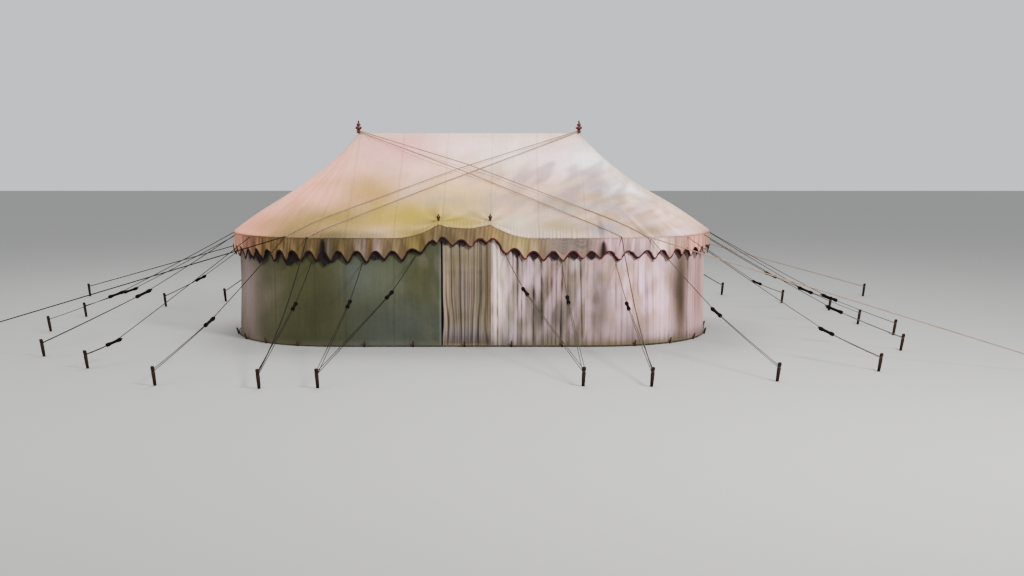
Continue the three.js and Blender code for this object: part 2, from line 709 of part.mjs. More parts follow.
// Plan y of the eave at an x beyond the poles.
function eaveY(x) {
  const along = Math.max(0, Math.abs(x) - tent.poleX) / reachAt(x);
  return tent.halfWidth * Math.pow(1 - Math.pow(along, tent.cornerPower), 1 / tent.cornerPower);
}

// Angle from the ridge line at which the eave's plan reaches an x beyond the poles.
function endAngle(x) {
  const along = (Math.abs(x) - tent.poleX) / reachAt(x);
  return Math.acos(Math.pow(along, tent.cornerPower / 2));
}

// The guys of the ends are made fast at the eave, on the valance's outer face.
for (const guy of endGuys) {
  const foot = V(guy.foot[0], guy.foot[1], 0);
  const hold = endHold(guy.side, THREE.MathUtils.degToRad(guy.angle), eaveHoldZ, () => 1,
    cloth.gap + cloth.valance);
  add(guy.name, 'hemp', joined([stakeBody(foot)].concat(guyPieces(hold, foot, guy.share))));
}

// Long storm ropes: from each pole over the far end's hood to a stake of their own.
const stormStake = { x: 7000, y: 4280 };
const stormEaveX = { left: -2440, right: 2480 };
for (const [name, poleSide] of [['left', 1], ['right', -1]]) {
  for (const [sideName, back] of [['front', -1], ['back', 1]]) {
    const foot = V(-poleSide * stormStake.x, back * stormStake.y, 0);
    const x = stormEaveX[name];
    add(`storm_rope_${sideName}_${name}`, 'hemp', joined([stakeBody(foot)].concat(
      stormPieces(poleSide, 'far', V(x, back * eaveY(x), 0), foot))));
  }
}

export default part;
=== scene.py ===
import math

import bmesh
import bpy
import numpy as np
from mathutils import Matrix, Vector


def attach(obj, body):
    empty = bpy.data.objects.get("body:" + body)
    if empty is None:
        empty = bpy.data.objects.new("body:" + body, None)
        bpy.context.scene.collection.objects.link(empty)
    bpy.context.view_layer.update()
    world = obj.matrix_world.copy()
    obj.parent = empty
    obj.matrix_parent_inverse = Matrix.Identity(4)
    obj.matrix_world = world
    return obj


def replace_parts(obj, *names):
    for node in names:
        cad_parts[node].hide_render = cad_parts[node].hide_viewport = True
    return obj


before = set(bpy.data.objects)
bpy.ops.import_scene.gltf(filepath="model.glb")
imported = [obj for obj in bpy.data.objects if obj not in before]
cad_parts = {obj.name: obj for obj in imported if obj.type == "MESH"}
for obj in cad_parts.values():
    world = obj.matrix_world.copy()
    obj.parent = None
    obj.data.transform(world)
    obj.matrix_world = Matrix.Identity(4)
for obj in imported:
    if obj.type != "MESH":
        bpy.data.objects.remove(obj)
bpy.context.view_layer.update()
print("frame loaded")


def linkObject(name, data):
    made = bpy.data.objects.new(name, data)
    bpy.context.scene.collection.objects.link(made)
    return made


# The camera stands where the photograph was taken from.

camera = {
    "place": (0.651, -21.171, 2.779), "down": 5.901, "turn": 0.018, "lens": 49.67, "sensor": 36.0, "far": 300,
}
cameraData = bpy.data.cameras.new("camera")
cameraData.lens, cameraData.sensor_width = camera["lens"], camera["sensor"]
cameraData.clip_end = camera["far"]
cameraObject = linkObject("camera", cameraData)
cameraObject.location = camera["place"]
cameraObject.rotation_euler = (math.radians(90 - camera["down"]), 0, math.radians(camera["turn"]))
bpy.context.scene.camera = cameraObject

# The tent's own measures, in metres, as in the part's source

tent = {
    "poleX": 1.64, "ridgeZ": 2.909, "eaveZ": 1.491, "halfWidth": 2.13, "leftReach": 1.808,
    "rightReach": 1.922, "power": 2.3, "sideHollow": 0.2, "endHollow": 0.58,
}
door = {
    "poleX": 0.35, "poleY": -2.06, "lift": 0.184, "sag": 0.05, "spread": 0.6, "slitLeft": -0.316,
    "curtainLeft": -0.298, "curtainRight": 0.352, "wallRight": 0.357,
}
wallSet = {"sideIn": 0.035, "endIn": 0.060}
poleX, ridgeZ, halfWidth, power = tent["poleX"], tent["ridgeZ"], tent["halfWidth"], tent["power"]


def reachAt(x):
    return np.where(np.asarray(x) < 0, tent["leftReach"], tent["rightReach"])


def alongShare(x):
    return np.maximum(0, np.abs(x) - poleX) / reachAt(x)


def doorShare(x):
    return np.clip(1 - np.maximum(0, np.abs(x) - door["poleX"]) / door["spread"], 0, 1) ** 2


# The roof sags from the ridge to the eave, and rises to the door poles.
def roofHeight(x, y):
    x, y = np.asarray(x, float), np.asarray(y, float)
    across, along = np.abs(y) / halfWidth, alongShare(x)
    share = np.clip((across**power + along**power) ** (1 / power), 0, 1)  # of the way down
    endShare = along**2 / np.maximum(along**2 + across**2, 1e-12)
    hollow = tent["sideHollow"] + (tent["endHollow"] - tent["sideHollow"]) * endShare
    fall = share + hollow * share * (1 - share) ** 2
    atDoor = door["lift"] * doorShare(x) - door["sag"] * np.maximum(0, 1 - (x / door["poleX"]) ** 2)
    return ridgeZ - (ridgeZ - tent["eaveZ"]) * fall + np.where(y < 0, atDoor * share**2, 0)


# The eave's rounded end at angles from the tent's length
def eaveCurve(side, angle):
    x = side * (poleX + reachAt(side) * np.abs(np.cos(angle)) ** (2 / power))
    return x, np.sign(np.sin(angle)) * halfWidth * np.abs(np.sin(angle)) ** (2 / power)


def runAlong(x, y):
    return np.concatenate([[0], np.cumsum(np.hypot(np.diff(x), np.diff(y)))])


# The eave's plan as stations about so far apart, anticlockwise from above. Straight sides keep the same x.
def planStations(step):
    count = round(2 * poleX / step)
    straight = np.linspace(-poleX, poleX, count + 1)[:-1]
    xs, ys = [], []
    for side in (1, -1):
        x, y = eaveCurve(side, np.linspace(-math.pi / 2, math.pi / 2, 4001))
        run = runAlong(x, side * y)
        at = np.linspace(0, run[-1], 2 * round(run[-1] / step / 2) + 1)[:-1]
        xs += [side * straight, np.interp(at, run, x)]
        ys += [np.full(count, -side * halfWidth), np.interp(at, run, side * y)]
    x, y = (np.concatenate(parts + [parts[0][:1]]) for parts in (xs, ys))
    return {"x": x, "y": y, "u": runAlong(x, y) - poleX, **outwards(x, y, True)}


def outwards(x, y, closed=False):
    if closed:
        dx, dy = (np.gradient(np.concatenate([[one[-2]], one, [one[1]]]))[1:-1] for one in (x, y))
    else:
        dx, dy = np.gradient(x), np.gradient(y)
    length = np.hypot(dx, dy)
    return {"nx": dy / length, "ny": -dx / length}


# A length of the plan between two arc places, measured along the eave from the middle of the front
def planPart(stations, start, end, count):
    at = np.linspace(start, end, count)
    first = stations["u"][0]
    wrapped = (at - first) % (stations["u"][-1] - first) + first
    part = {key: np.interp(wrapped, stations["u"], stations[key]) for key in ("x", "y", "nx", "ny")}
    length = np.hypot(part["nx"], part["ny"])
    return {**part, "nx": part["nx"] / length, "ny": part["ny"] / length, "u": at}


# Points that stand out from a plan by so much, at a height
def standing(part, out, z):
    return np.stack([part["x"] + part["nx"] * out, part["y"] + part["ny"] * out, z + 0 * out], -1)


fine = planStations(0.004)
eaveLength = fine["u"][-1] - fine["u"][0]
rightLength = fine["u"][np.argmin(np.abs(fine["x"] - poleX) + np.abs(fine["y"] - halfWidth))] - poleX
leftLength = eaveLength - 4 * poleX - rightLength
rightTip, leftTip = poleX + rightLength / 2, -poleX - leftLength / 2
fullTurn = 2 * math.pi


# Noise from a handful of waves, about -1 to 1, the same on every run
def ripple(u, v, size, seed, stretch=1.0):
    draw = np.random.default_rng(seed)
    total = np.zeros(np.broadcast(u, v).shape)
    for _ in range(8):
        angle, phase = draw.uniform(0, fullTurn, 2)
        length = size * draw.uniform(0.55, 1.8)
        at = u * math.cos(angle) + v * math.sin(angle) / stretch
        total = total + np.sin(fullTurn * at / length + phase)
    return total / 4


def mottle(points, size, seed):
    draw = np.random.default_rng(seed)
    total = np.zeros(points.shape[:-1])
    for _ in range(9):
        way = draw.normal(size=3)
        way /= np.linalg.norm(way) * size * draw.uniform(0.6, 1.7)
        total = total + np.sin(fullTurn * (points @ way) + draw.uniform(0, fullTurn))
    return total / 4.2


# Uneven pleats along a length: rounded outside, tighter inside, and never quite alike
def pleats(u, pitch, seed):
    phase = fullTurn * (u / pitch + 0.38 * ripple(u, 0 * u, pitch * 4, seed))
    sway = 0.65 + 0.35 * ripple(u, 0 * u, pitch * 2.7, seed + 1)
    return (np.sin(phase) + 0.32 * np.sin(2 * phase + 0.8)) * sway


def smooth(low, high, x):
    t = np.clip((x - low) / (high - low), 0, 1)
    return t * t * (3 - 2 * t)


def bump(x, middle, half):
    return np.exp(-(((x - middle) / half) ** 2))


def toLinear(colour):
    colour = np.clip(np.asarray(colour, float), 0, 1)
    return np.where(colour <= 0.04045, colour / 12.92, ((colour + 0.055) / 1.055) ** 2.4)


def tone(red, green, blue):
    return np.array([red, green, blue]) / 255


def pigment(colour):
    return (*toLinear(colour), 1)


# The linen's plain tones towards the back of the tent; the valance's is darker than the roof's, painted shade
# under the eave.
plain = {"roof": tone(202, 182, 156), "valance": tone(160, 142, 116), "wall": tone(176, 160, 136)}


# Cloth colour at each point: a base tone and soft patches, each a row of centre, half sizes, tone and
# strength. The base tones and the patches are painted light and shade: pools of coloured light, and shade.
# A longer row is dappled, as painted dappled light and shade: the spots' size, how tight they are across and
# upwards, and their slant. The painted light fades to plain linen towards the back of the tent.
def paint(points, base, patches, seed, unlit):
    colour = np.empty(points.shape)
    colour[...] = base
    for k, row in enumerate(patches):
        off = (points - np.array(row[:3])) / np.array(row[3:6])
        away = (off**2).sum(-1) * (1 + 0.35 * mottle(points, 0.55, seed + k))
        mask = row[9] * np.exp(-np.maximum(away, 0))
        if len(row) > 10:
            spot, across, up, slant = row[10:]
            drawnOut = points * (across, across, up)
            drawnOut[..., 2] -= slant * up * points[..., 0]
            mask = mask * smooth(-0.3, 0.7, mottle(drawnOut, spot, seed + 40 + k))
        colour += (tone(*row[6:9]) - colour) * mask[..., None]
    onEnd = smooth(1.4, 2.8, np.abs(points[..., 0]))
    fade = smooth(-0.15 - 1.25 * onEnd, 0.35 + 0.45 * onEnd, points[..., 1])
    return colour + (unlit - colour) * fade[..., None]


# Meshes

# Grids as one mesh, each grid with its UV and its material's number. Faces look outwards where the columns
# run anticlockwise and the rows run down.
def gridMesh(name, grids, tint=None):
    points, faces, uvs, index, first = [], [], [], [], 0
    for grid, uv, number in grids:
        rows, columns = grid.shape[:2]
        i, j = np.meshgrid(np.arange(rows - 1), np.arange(columns - 1), indexing="ij")
        a = (first + i * columns + j).ravel()
        faces.append(np.stack([a, a + columns, a + columns + 1, a + 1], 1))
        points.append(grid.reshape(-1, 3))
        uvs.append(uv.reshape(-1, 2))
        index.append(np.full(len(a), number))
        first += rows * columns
    points, faces, uvs = np.concatenate(points), np.concatenate(faces), np.concatenate(uvs)
    mesh = bpy.data.meshes.new(name)
    mesh.from_pydata(points.tolist(), [], faces.tolist())
    mesh.uv_layers.new(name="cloth").data.foreach_set("uv", uvs[faces.ravel()].astype(np.float32).ravel())
    if tint is not None:
        shade = np.concatenate([toLinear(tint.reshape(-1, 3)), np.ones((len(points), 1))], 1)
        made = mesh.color_attributes.new("tint", "FLOAT_COLOR", "POINT")
        made.data.foreach_set("color", shade.astype(np.float32).ravel())
    mesh.polygons.foreach_set("material_index", np.concatenate(index).astype(np.int32))
    return mesh


# A mesh as a piece of the tent, with its materials, smoothed, and attached to the root body
def dressPiece(name, mesh, materials):
    for one in materials:
        mesh.materials.append(one)
    mesh.polygons.foreach_set("use_smooth", np.ones(len(mesh.polygons), bool))
    mesh.update()
    made = linkObject(name, mesh)
    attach(made, "root")
    return made


def gridsPiece(name, grids, materials, tint=None, weld=True):
    mesh = gridMesh(name, grids, tint)
    if weld:
        work = bmesh.new()
        work.from_mesh(mesh)
        bmesh.ops.remove_doubles(work, verts=work.verts, dist=1e-5)
        work.to_mesh(mesh)
        work.free()
    return dressPiece(name, mesh, materials)


def clothPiece(name, points, across, down, tint, material, weld=False):
    uv = np.stack([np.broadcast_to(across, down.shape), -down], -1)
    return gridsPiece(name, [(points, uv, 0)], [material], tint, weld)


# Materials

def newMaterial(name, roughness, specular=0.5):
    made = bpy.data.materials.new(name)
    made.use_nodes = True
    shader = made.node_tree.nodes["Principled BSDF"]
    shader.inputs["Roughness"].default_value = roughness
    shader.inputs["Specular IOR Level"].default_value = specular
    return made, made.node_tree, shader


# One node, with its settings, and its sockets given by name or number as a value or a link
def put(tree, kind, settings=None, sockets=None, out=0):
    made = tree.nodes.new(kind)
    for key, value in (settings or {}).items():
        setattr(made, key, value)
    for key, value in (sockets or {}).items():
        if isinstance(value, bpy.types.NodeSocket):
            tree.links.new(value, made.inputs[key])
        else:
            made.inputs[key].default_value = value
    return made.outputs[out]


def maths(tree, operation, *values):
    return put(tree, "ShaderNodeMath", {"operation": operation}, dict(enumerate(values)))


def times(tree, value, *others):
    for other in others:
        value = maths(tree, "MULTIPLY", value, other)
    return value


def plus(tree, one, other):
    return maths(tree, "ADD", one, other)


def blendColour(tree, kind, factor, one, other):
    settings = {"data_type": "RGBA", "blend_type": kind}
    return put(tree, "ShaderNodeMix", settings, {0: factor, 6: one, 7: other}, 2)


def ramp(tree, value, low, high, toLow=0.0, toHigh=1.0):
    return put(tree, "ShaderNodeMapRange", {"interpolation_type": "SMOOTHSTEP"},
               {0: value, 1: low, 2: high, 3: toLow, 4: toHigh})


# 1 at a distance, falling to 0 between two distances from it
def lineAt(tree, value, place, inner, outer):
    return ramp(tree, maths(tree, "ABSOLUTE", maths(tree, "SUBTRACT", value, place)), inner, outer, 1.0, 0.0)


def noiseAt(tree, vector, scale, detail=3.0, rough=0.55):
    if isinstance(scale, tuple):  # drawn out by a mapping
        vector, scale = put(tree, "ShaderNodeMapping", None, {"Vector": vector, "Scale": scale}), 1.0
    return put(tree, "ShaderNodeTexNoise", None,
               {"Vector": vector, "Scale": scale, "Detail": detail, "Roughness": rough})


def bumpOn(tree, height, distance, strength, under=None):
    sockets = {"Height": height, "Distance": distance, "Strength": strength}
    if under:
        sockets["Normal"] = under
    return put(tree, "ShaderNodeBump", None, sockets)


# The UV, in metres along and down the cloth, and the place on the object
def places(tree):
    return put(tree, "ShaderNodeUVMap", {"uv_map": "cloth"}), put(tree, "ShaderNodeTexCoord", out=3)


def axesOf(tree, vector):
    made = tree.nodes.new("ShaderNodeSeparateXYZ")
    tree.links.new(vector, made.inputs[0])
    return made.outputs


def meshTint(tree):
    return put(tree, "ShaderNodeAttribute", {"attribute_name": "tint"})


def wire(tree, shader, colour, normal):
    tree.links.new(colour, shader.inputs["Base Color"])
    tree.links.new(normal, shader.inputs["Normal"])


# Linen: tint from the mesh, warp and weft threads, slubs, flat-felled seams between the lengths, soft creases
linenSet = {
    "thread": 0.0022, "length": 0.656, "start": 0.30, "fell": 0.007, "fellEdge": 0.0085, "row": 0.005,
    "stitch": 0.006, "earth": tone(92, 84, 64),
}


def linen(name, seams=True, creases=0.5, grime=0.0, seamShade=0.82):
    made, tree, shader = newMaterial(name, 0.9, 0.1)
    place, body = places(tree)
    u, v = axesOf(tree, place)[:2]
    turn = fullTurn / linenSet["thread"]
    weave = times(tree, maths(tree, "SINE", times(tree, u, turn)), maths(tree, "SINE", times(tree, v, turn)))
    slubDown, slubAcross = noiseAt(tree, place, (150, 5, 1)), noiseAt(tree, place, (5, 150, 1))
    fleck = noiseAt(tree, body, 24, 4.0, 0.7)
    streaks, clouds = noiseAt(tree, place, (30, 1.3, 1), 4.0), noiseAt(tree, body, 2.6, 5.0, 0.62)
    shade = times(tree, *(ramp(tree, value, 0.3, 0.7, darker, lighter) for value, darker, lighter in (
        (streaks, 0.965, 1.03), (clouds, 0.93, 1.05), (fleck, 0.96, 1.03), (slubDown, 0.965, 1.03),
        (slubAcross, 0.97, 1.02))))
    threads = plus(tree, times(tree, weave, 0.35), plus(tree, slubDown, slubAcross))
    normal = bumpOn(tree, threads, 0.0008, 0.35)
    if seams:
        length = maths(tree, "DIVIDE", plus(tree, u, linenSet["start"]), linenSet["length"])
        shifted = plus(tree, length, 0.5)
        inLength = maths(tree, "SUBTRACT", maths(tree, "FRACT", shifted), 0.5)
        off = times(tree, maths(tree, "ABSOLUTE", inLength), linenSet["length"])
        felled = ramp(tree, off, linenSet["fell"], linenSet["fell"] + 0.003, 1.0, 0.0)
        row = lineAt(tree, off, linenSet["row"], 0.0006, 0.0014)
        dash = ramp(tree, maths(tree, "SINE", times(tree, v, fullTurn / linenSet["stitch"])), -0.1, 0.3)
        stitch = times(tree, row, dash)
        oneLength = put(tree, "ShaderNodeTexWhiteNoise", {"noise_dimensions": "1D"},
                        {"W": maths(tree, "FLOOR", shifted)})
        edge = lineAt(tree, off, linenSet["fellEdge"], 0.0, 0.004)
        shade = times(tree, shade, ramp(tree, oneLength, 0.0, 1.0, 0.965, 1.02), *(
            ramp(tree, value, 0.0, 1.0, 1.0, darker)
            for value, darker in ((edge, seamShade), (felled, (1 + seamShade) / 2), (stitch, 0.7))))
        normal = bumpOn(tree, maths(tree, "SUBTRACT", felled, times(tree, stitch, 0.5)), 0.0022, 0.7, normal)
    normal = bumpOn(tree, noiseAt(tree, place, (3.2, 1.6, 1), 6.0, 0.5), 0.035, creases, normal)
    colour = put(tree, "ShaderNodeVectorMath", {"operation": "SCALE"}, {0: meshTint(tree), "Scale": shade})
    if grime:
        rise = plus(tree, axesOf(tree, body)[2], times(tree, fleck, 0.09))
        colour = blendColour(tree, "MIX", ramp(tree, rise, 0.035, 0.16, grime, 0.0), colour,
                             pigment(linenSet["earth"]))
    wire(tree, shader, colour, normal)
    return made


# Wine-red wool tape, with a fine twill, shaded by the mesh's tint
def woolTape(name, dark, light):
    made, tree, shader = newMaterial(name, 0.85, 0.2)
    place = places(tree)[0]
    slant = plus(tree, *axesOf(tree, place)[:2])
    twill = maths(tree, "SINE", times(tree, slant, fullTurn / 0.003))  # every 3 mm
    worn = noiseAt(tree, place, 26, 5.0, 0.7)
    mix = blendColour(tree, "MIX", ramp(tree, worn, 0.35, 0.75), pigment(dark), pigment(light))
    wire(tree, shader, blendColour(tree, "MULTIPLY", 1.0, mix, meshTint(tree)),
         bumpOn(tree, plus(tree, twill, worn), 0.0008, 0.4))
    return made


# Wood with its grain down the UV's v
def wood(name, dark, light, roughness, gloss=0.0, scratches=0.3, shine=0.2):
    made, tree, shader = newMaterial(name, roughness, shine)
    shader.inputs["Coat Weight"].default_value = gloss
    shader.inputs["Coat Roughness"].default_value = 0.2
    place, body = places(tree)
    grain, broad = noiseAt(tree, place, (120, 9, 1), 6.0, 0.6), noiseAt(tree, place, (20, 3, 1))
    worn = ramp(tree, noiseAt(tree, body, 60, 4.0, 0.7), 0.6, 0.8, 0.0, scratches)
    mix = blendColour(tree, "MIX", ramp(tree, grain, 0.3, 0.7), pigment(dark), pigment(light))
    mix = blendColour(tree, "MULTIPLY", ramp(tree, broad, 0.3, 0.7, 0.0, 0.5), mix, (0.55, 0.5, 0.45, 1))
    tree.links.new(ramp(tree, grain, 0.3, 0.7, roughness * 0.85, min(1, roughness * 1.15)),
                   shader.inputs["Roughness"])
    wire(tree, shader, blendColour(tree, "MIX", worn, mix, pigment(light)), bumpOn(tree, grain, 0.0012, 0.4))
    return made


# Laid rope: strands twist round it along the UV's u, in metres, and v once round
def hemp(name, dark, light, lay):
    made, tree, shader = newMaterial(name, 0.95, 0.08)
    place, body = places(tree)
    u, v = axesOf(tree, place)[:2]
    turn = plus(tree, times(tree, u, 1 / lay), v)
    strand = maths(tree, "ABSOLUTE", maths(tree, "SINE", times(tree, turn, 3 * math.pi)))
    fibre = noiseAt(tree, place, (160, 9, 1), 5.0, 0.7)
    mix = blendColour(tree, "MIX", times(tree, ramp(tree, strand, 0.0, 0.8), ramp(tree, fibre, 0.2, 0.7)),
                      pigment(dark), pigment(light))
    worn = ramp(tree, noiseAt(tree, body, 6), 0.35, 0.65, 0.0, 0.35)
    wire(tree, shader, blendColour(tree, "MULTIPLY", worn, mix, (0.6, 0.56, 0.5, 1)),
         bumpOn(tree, plus(tree, strand, times(tree, fibre, 0.3)), 0.003, 0.9))
    return made


looks = {
    "roof": linen("roofLinen", creases=0.42, seamShade=0.86),
    "wall": linen("wallLinen", creases=0.22, grime=0.3, seamShade=0.88),
    "curtain": linen("curtainLinen", seams=False, creases=0.3, grime=0.15),
    "valance": linen("valanceLinen", creases=0.45),
    "binding": woolTape("wineBinding", tone(42, 10, 18), tone(92, 34, 42)),
    "lining": woolTape("wineLining", tone(14, 7, 9), tone(34, 16, 21)),
    "pole": wood("poleWood", tone(100, 74, 46), tone(160, 126, 84), 0.6),
    "finial": wood("finialWood", tone(44, 6, 9), tone(96, 18, 22), 0.4, gloss=0.25, scratches=0.1),
    "doorFinial": wood("doorFinialWood", tone(22, 10, 5), tone(62, 30, 15), 0.45, gloss=0.15, scratches=0.1),
    "stake": wood("stakeWood", tone(16, 12, 9), tone(48, 35, 25), 0.85, shine=0.08),
    "slider": wood("sliderWood", tone(8, 6, 6), tone(22, 16, 14), 0.9, scratches=0.15, shine=0.02),
    "peg": wood("pegWood", tone(36, 28, 21), tone(76, 58, 42), 0.85, shine=0.08),
    "guy": hemp("hempGuy", tone(44, 37, 31), tone(92, 82, 70), 0.035),
    "darkGuy": hemp("hempShaded", tone(16, 13, 10), tone(40, 34, 27), 0.035),
    "stormRope": hemp("hempStormLit", tone(106, 87, 70), tone(174, 149, 124), 0.05),
}
print("materials made")

# Roof: one sheet of linen over the ridge and both rounded ends

# The roof's base tone and patches are painted light and shade: pools of pink, yellow and white light, and
# olive shade low on the slopes and along the eave; the dappled rows are painted dappled light and shade.
roof = {
    "step": 0.0135, "rows": 58, "base": tone(204, 164, 142), "lip": 0.008, "flat": (7.4, 5.6), "area": 34.0,
    "billow": (0.011, 0.9), "wrinkle": (0.005, 0.35), "tension": (0.006, 0.34), "gather": (0.0048, 0.045),
    "star": (0.0078, 0.21), "peak": (0.014, 0.055), "rimShade": 0.10, "foldShade": 0.17, "foldFull": 0.007,
    "guyFolds": [(2.5, -0.55, -0.010), (2.58, -0.55, 0.010), (-2.42, 0.55, -0.010), (-2.5, 0.55, 0.010),
                 (3.13, -0.4, 0.008), (-3.0, 0.4, 0.008), (1.87, 0.1, -0.014)],
    "patches": [
        (-2.4, -0.9, 2.1, 0.9, 1.6, 0.8, 242, 158, 134, 0.95),
        (-3.1, -0.7, 1.6, 0.5, 1.6, 0.4, 234, 142, 116, 0.85),
        (-2.75, -1.5, 1.62, 0.35, 0.6, 0.14, 206, 136, 98, 0.8),
        (-1.75, -1.75, 1.72, 0.85, 0.6, 0.22, 130, 108, 55, 1),
        (-2.3, -1.8, 1.63, 0.4, 0.5, 0.17, 140, 112, 62, 0.95),
        (-1.35, -1.2, 2.1, 0.45, 0.5, 0.26, 160, 122, 64, 0.9),
        (-0.75, -1.7, 1.78, 0.55, 0.5, 0.2, 148, 127, 30, 1),
        (-0.1, -1.9, 1.7, 0.55, 0.4, 0.13, 132, 117, 40, 1),
        (-0.95, -0.3, 2.68, 0.6, 0.7, 0.3, 222, 152, 150, 0.9),
        (-0.65, -0.75, 2.4, 0.4, 0.5, 0.22, 236, 178, 156, 0.8),
        (-0.1, -0.3, 2.7, 0.5, 0.5, 0.3, 244, 196, 190, 0.95),
        (-0.05, -1, 2.2, 0.45, 0.4, 0.22, 232, 184, 140, 0.85),
        (-0.05, -1.5, 1.92, 0.45, 0.35, 0.16, 158, 138, 88, 0.85),
        (0.6, -0.4, 2.65, 0.6, 0.7, 0.35, 244, 224, 210, 0.95),
        (0.62, -1.45, 1.95, 0.35, 0.4, 0.2, 190, 158, 128, 0.8),
        (0.75, -1.9, 1.66, 0.35, 0.4, 0.14, 180, 170, 146, 0.85),
        (1.32, -1.5, 1.9, 0.42, 0.4, 0.15, 146, 134, 126, 0.9),
        (1.3, -1.9, 1.63, 0.35, 0.4, 0.12, 148, 130, 98, 0.95),
        (1.3, -0.6, 2.5, 0.5, 0.6, 0.3, 240, 200, 208, 0.88),
        (1.85, -0.45, 2.55, 0.45, 0.7, 0.3, 244, 244, 244, 0.95),
        (1.9, -1.05, 2.15, 0.36, 0.35, 0.14, 142, 124, 126, 0.95),
        (2, -1.45, 1.9, 0.3, 0.35, 0.12, 146, 128, 122, 0.85),
        (1.85, -1.95, 1.61, 0.28, 0.4, 0.12, 124, 116, 130, 0.95),
        (2.35, -0.85, 2.1, 0.4, 0.5, 0.2, 244, 244, 244, 0.95),
        (2.43, -1.5, 1.76, 0.3, 0.4, 0.12, 174, 146, 154, 0.8),
        (2.55, -1.82, 1.57, 0.28, 0.35, 0.09, 124, 106, 84, 0.95),
        (2.85, -1, 1.8, 0.45, 0.8, 0.2, 244, 196, 186, 0.9),
        (3.45, -0.6, 1.5, 0.22, 1.2, 0.08, 150, 110, 94, 0.7),
        (1.5, -1.1, 2.15, 1.3, 0.9, 0.6, 124, 108, 110, 0.65, 0.26, 0.45, 1.5, 0.3),
        (2.1, -1.4, 1.85, 1.1, 0.8, 0.45, 152, 120, 76, 0.6, 0.22, 0.5, 1.5, 0.25),
        (-0.6, -1.3, 2.1, 1.2, 0.7, 0.5, 184, 148, 82, 0.45, 0.34, 0.5, 1.3, 0.15),
        (-2.35, -2.05, 1.52, 0.45, 0.3, 0.07, 106, 86, 54, 0.8),
        (-1.8, -2.1, 1.52, 0.35, 0.3, 0.07, 84, 74, 46, 0.9),
        (-1.3, -2.1, 1.52, 0.35, 0.3, 0.06, 114, 100, 66, 0.8),
        (-0.7, -2.1, 1.56, 0.3, 0.3, 0.08, 130, 114, 52, 0.9),
        (1.15, -2.1, 1.52, 0.35, 0.3, 0.05, 152, 138, 132, 0.6),
        (3, -1.5, 1.53, 0.3, 0.5, 0.06, 226, 180, 194, 0.7),
    ],
}


def roofCanvas():
    stations = planStations(roof["step"])
    t = np.linspace(0, 1, roof["rows"])
    share = 0.65 * t + 0.35 * (1 - (1 - t) ** 2.2)  # rows stand closer near the eave
    s = share[:, None]
    x, y, u = (stations[key][None, :] for key in ("x", "y", "u"))
    fromX = np.clip(x, -poleX, poleX)
    px, py = fromX + (x - fromX) * s, y * s
    points = np.stack([px, py, roofHeight(px, py)], -1)
    normal = np.cross(np.gradient(points, axis=0), np.gradient(points, axis=1))
    normal /= np.maximum(np.linalg.norm(normal, axis=-1, keepdims=True), 1e-9)
    normal[0] = (0, 0, 1)
    down = s * np.hypot(np.hypot(x - fromX, y), ridgeZ - tent["eaveZ"])
    allU, away = u + 0 * s, s * (1 - s) * 4
    depth, size = roof["billow"]
    move = depth * away * ripple(px, py, size, 11)
    depth, size = roof["wrinkle"]
    move = move + depth * away * ripple(allU, down, size, 12, 2.5)
    depth, pitch = roof["tension"]
    tension = pleats(allU, pitch, 13) * smooth(0.05, 0.5, s) * (1 - smooth(0.7, 1, s))
    move = move + depth * smooth(0, 0.4, np.abs(x) - poleX) * tension
    depth, pitch = roof["gather"]
    drawn = 0.4 + 0.6 * ripple(allU, 0 * s, 1.1, 15) ** 2 + 1.1 * bump(u, 1.25, 0.6)
    shaded = depth * pleats(allU, pitch, 14) * smooth(0.88, 0.99, s) * drawn
    for at, run, depth in roof["guyFolds"]:
        fold = depth * bump(u - (1 - s) * run, at, 0.03 + 0.05 * (1 - s))
        shaded = shaded + fold * smooth(0.72, 0.97, s)
    for side in (-1, 1):  # creases round each door finial, where the pole lifts the canvas
        dx, dy = px - side * door["poleX"], py - door["poleY"]
        r, around = np.hypot(dx, dy), np.arctan2(dy, dx)
        star = np.cos(9 * around + side) + 0.6 * np.cos(14 * around + 2)
        depth, size = roof["star"]
        shaded = shaded + depth * star * np.exp(-r / size) * smooth(0, 0.08, r) * (py < 0)
        height, size = roof["peak"]
        points[..., 2] += height * np.exp(-((r / size) ** 2)) * (py < 0)
    move = move + shaded
    move[0] = 0
    points += normal * move[..., None]
    lip = points[-1:].copy()
    lip[..., 0] += roof["lip"] * 0.5 * stations["nx"]
    lip[..., 1] += roof["lip"] * 0.5 * stations["ny"]
    lip[..., 2] -= roof["lip"] * 1.6
    points = np.concatenate([points, lip])
    down = np.concatenate([down, down[-1:] + roof["lip"] * 2])
    tint = paint(points, roof["base"], roof["patches"], 100, plain["roof"])
    tint *= (1 - roof["rimShade"] * smooth(0.985, 1.0, np.append(share, 1.0)))[:, None, None]
    hollow = np.concatenate([shaded, shaded[-1:]])
    tint *= (1 - roof["foldShade"] * np.clip(-hollow / roof["foldFull"], -0.6, 1))[..., None]
    made = clothPiece("roofCanvas", points, u, down, tint, looks["roof"], True)
    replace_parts(made, "roof_front_slope", "roof_back_slope", "roof_left_hood", "roof_right_hood")


roofCanvas()
print("roof made")
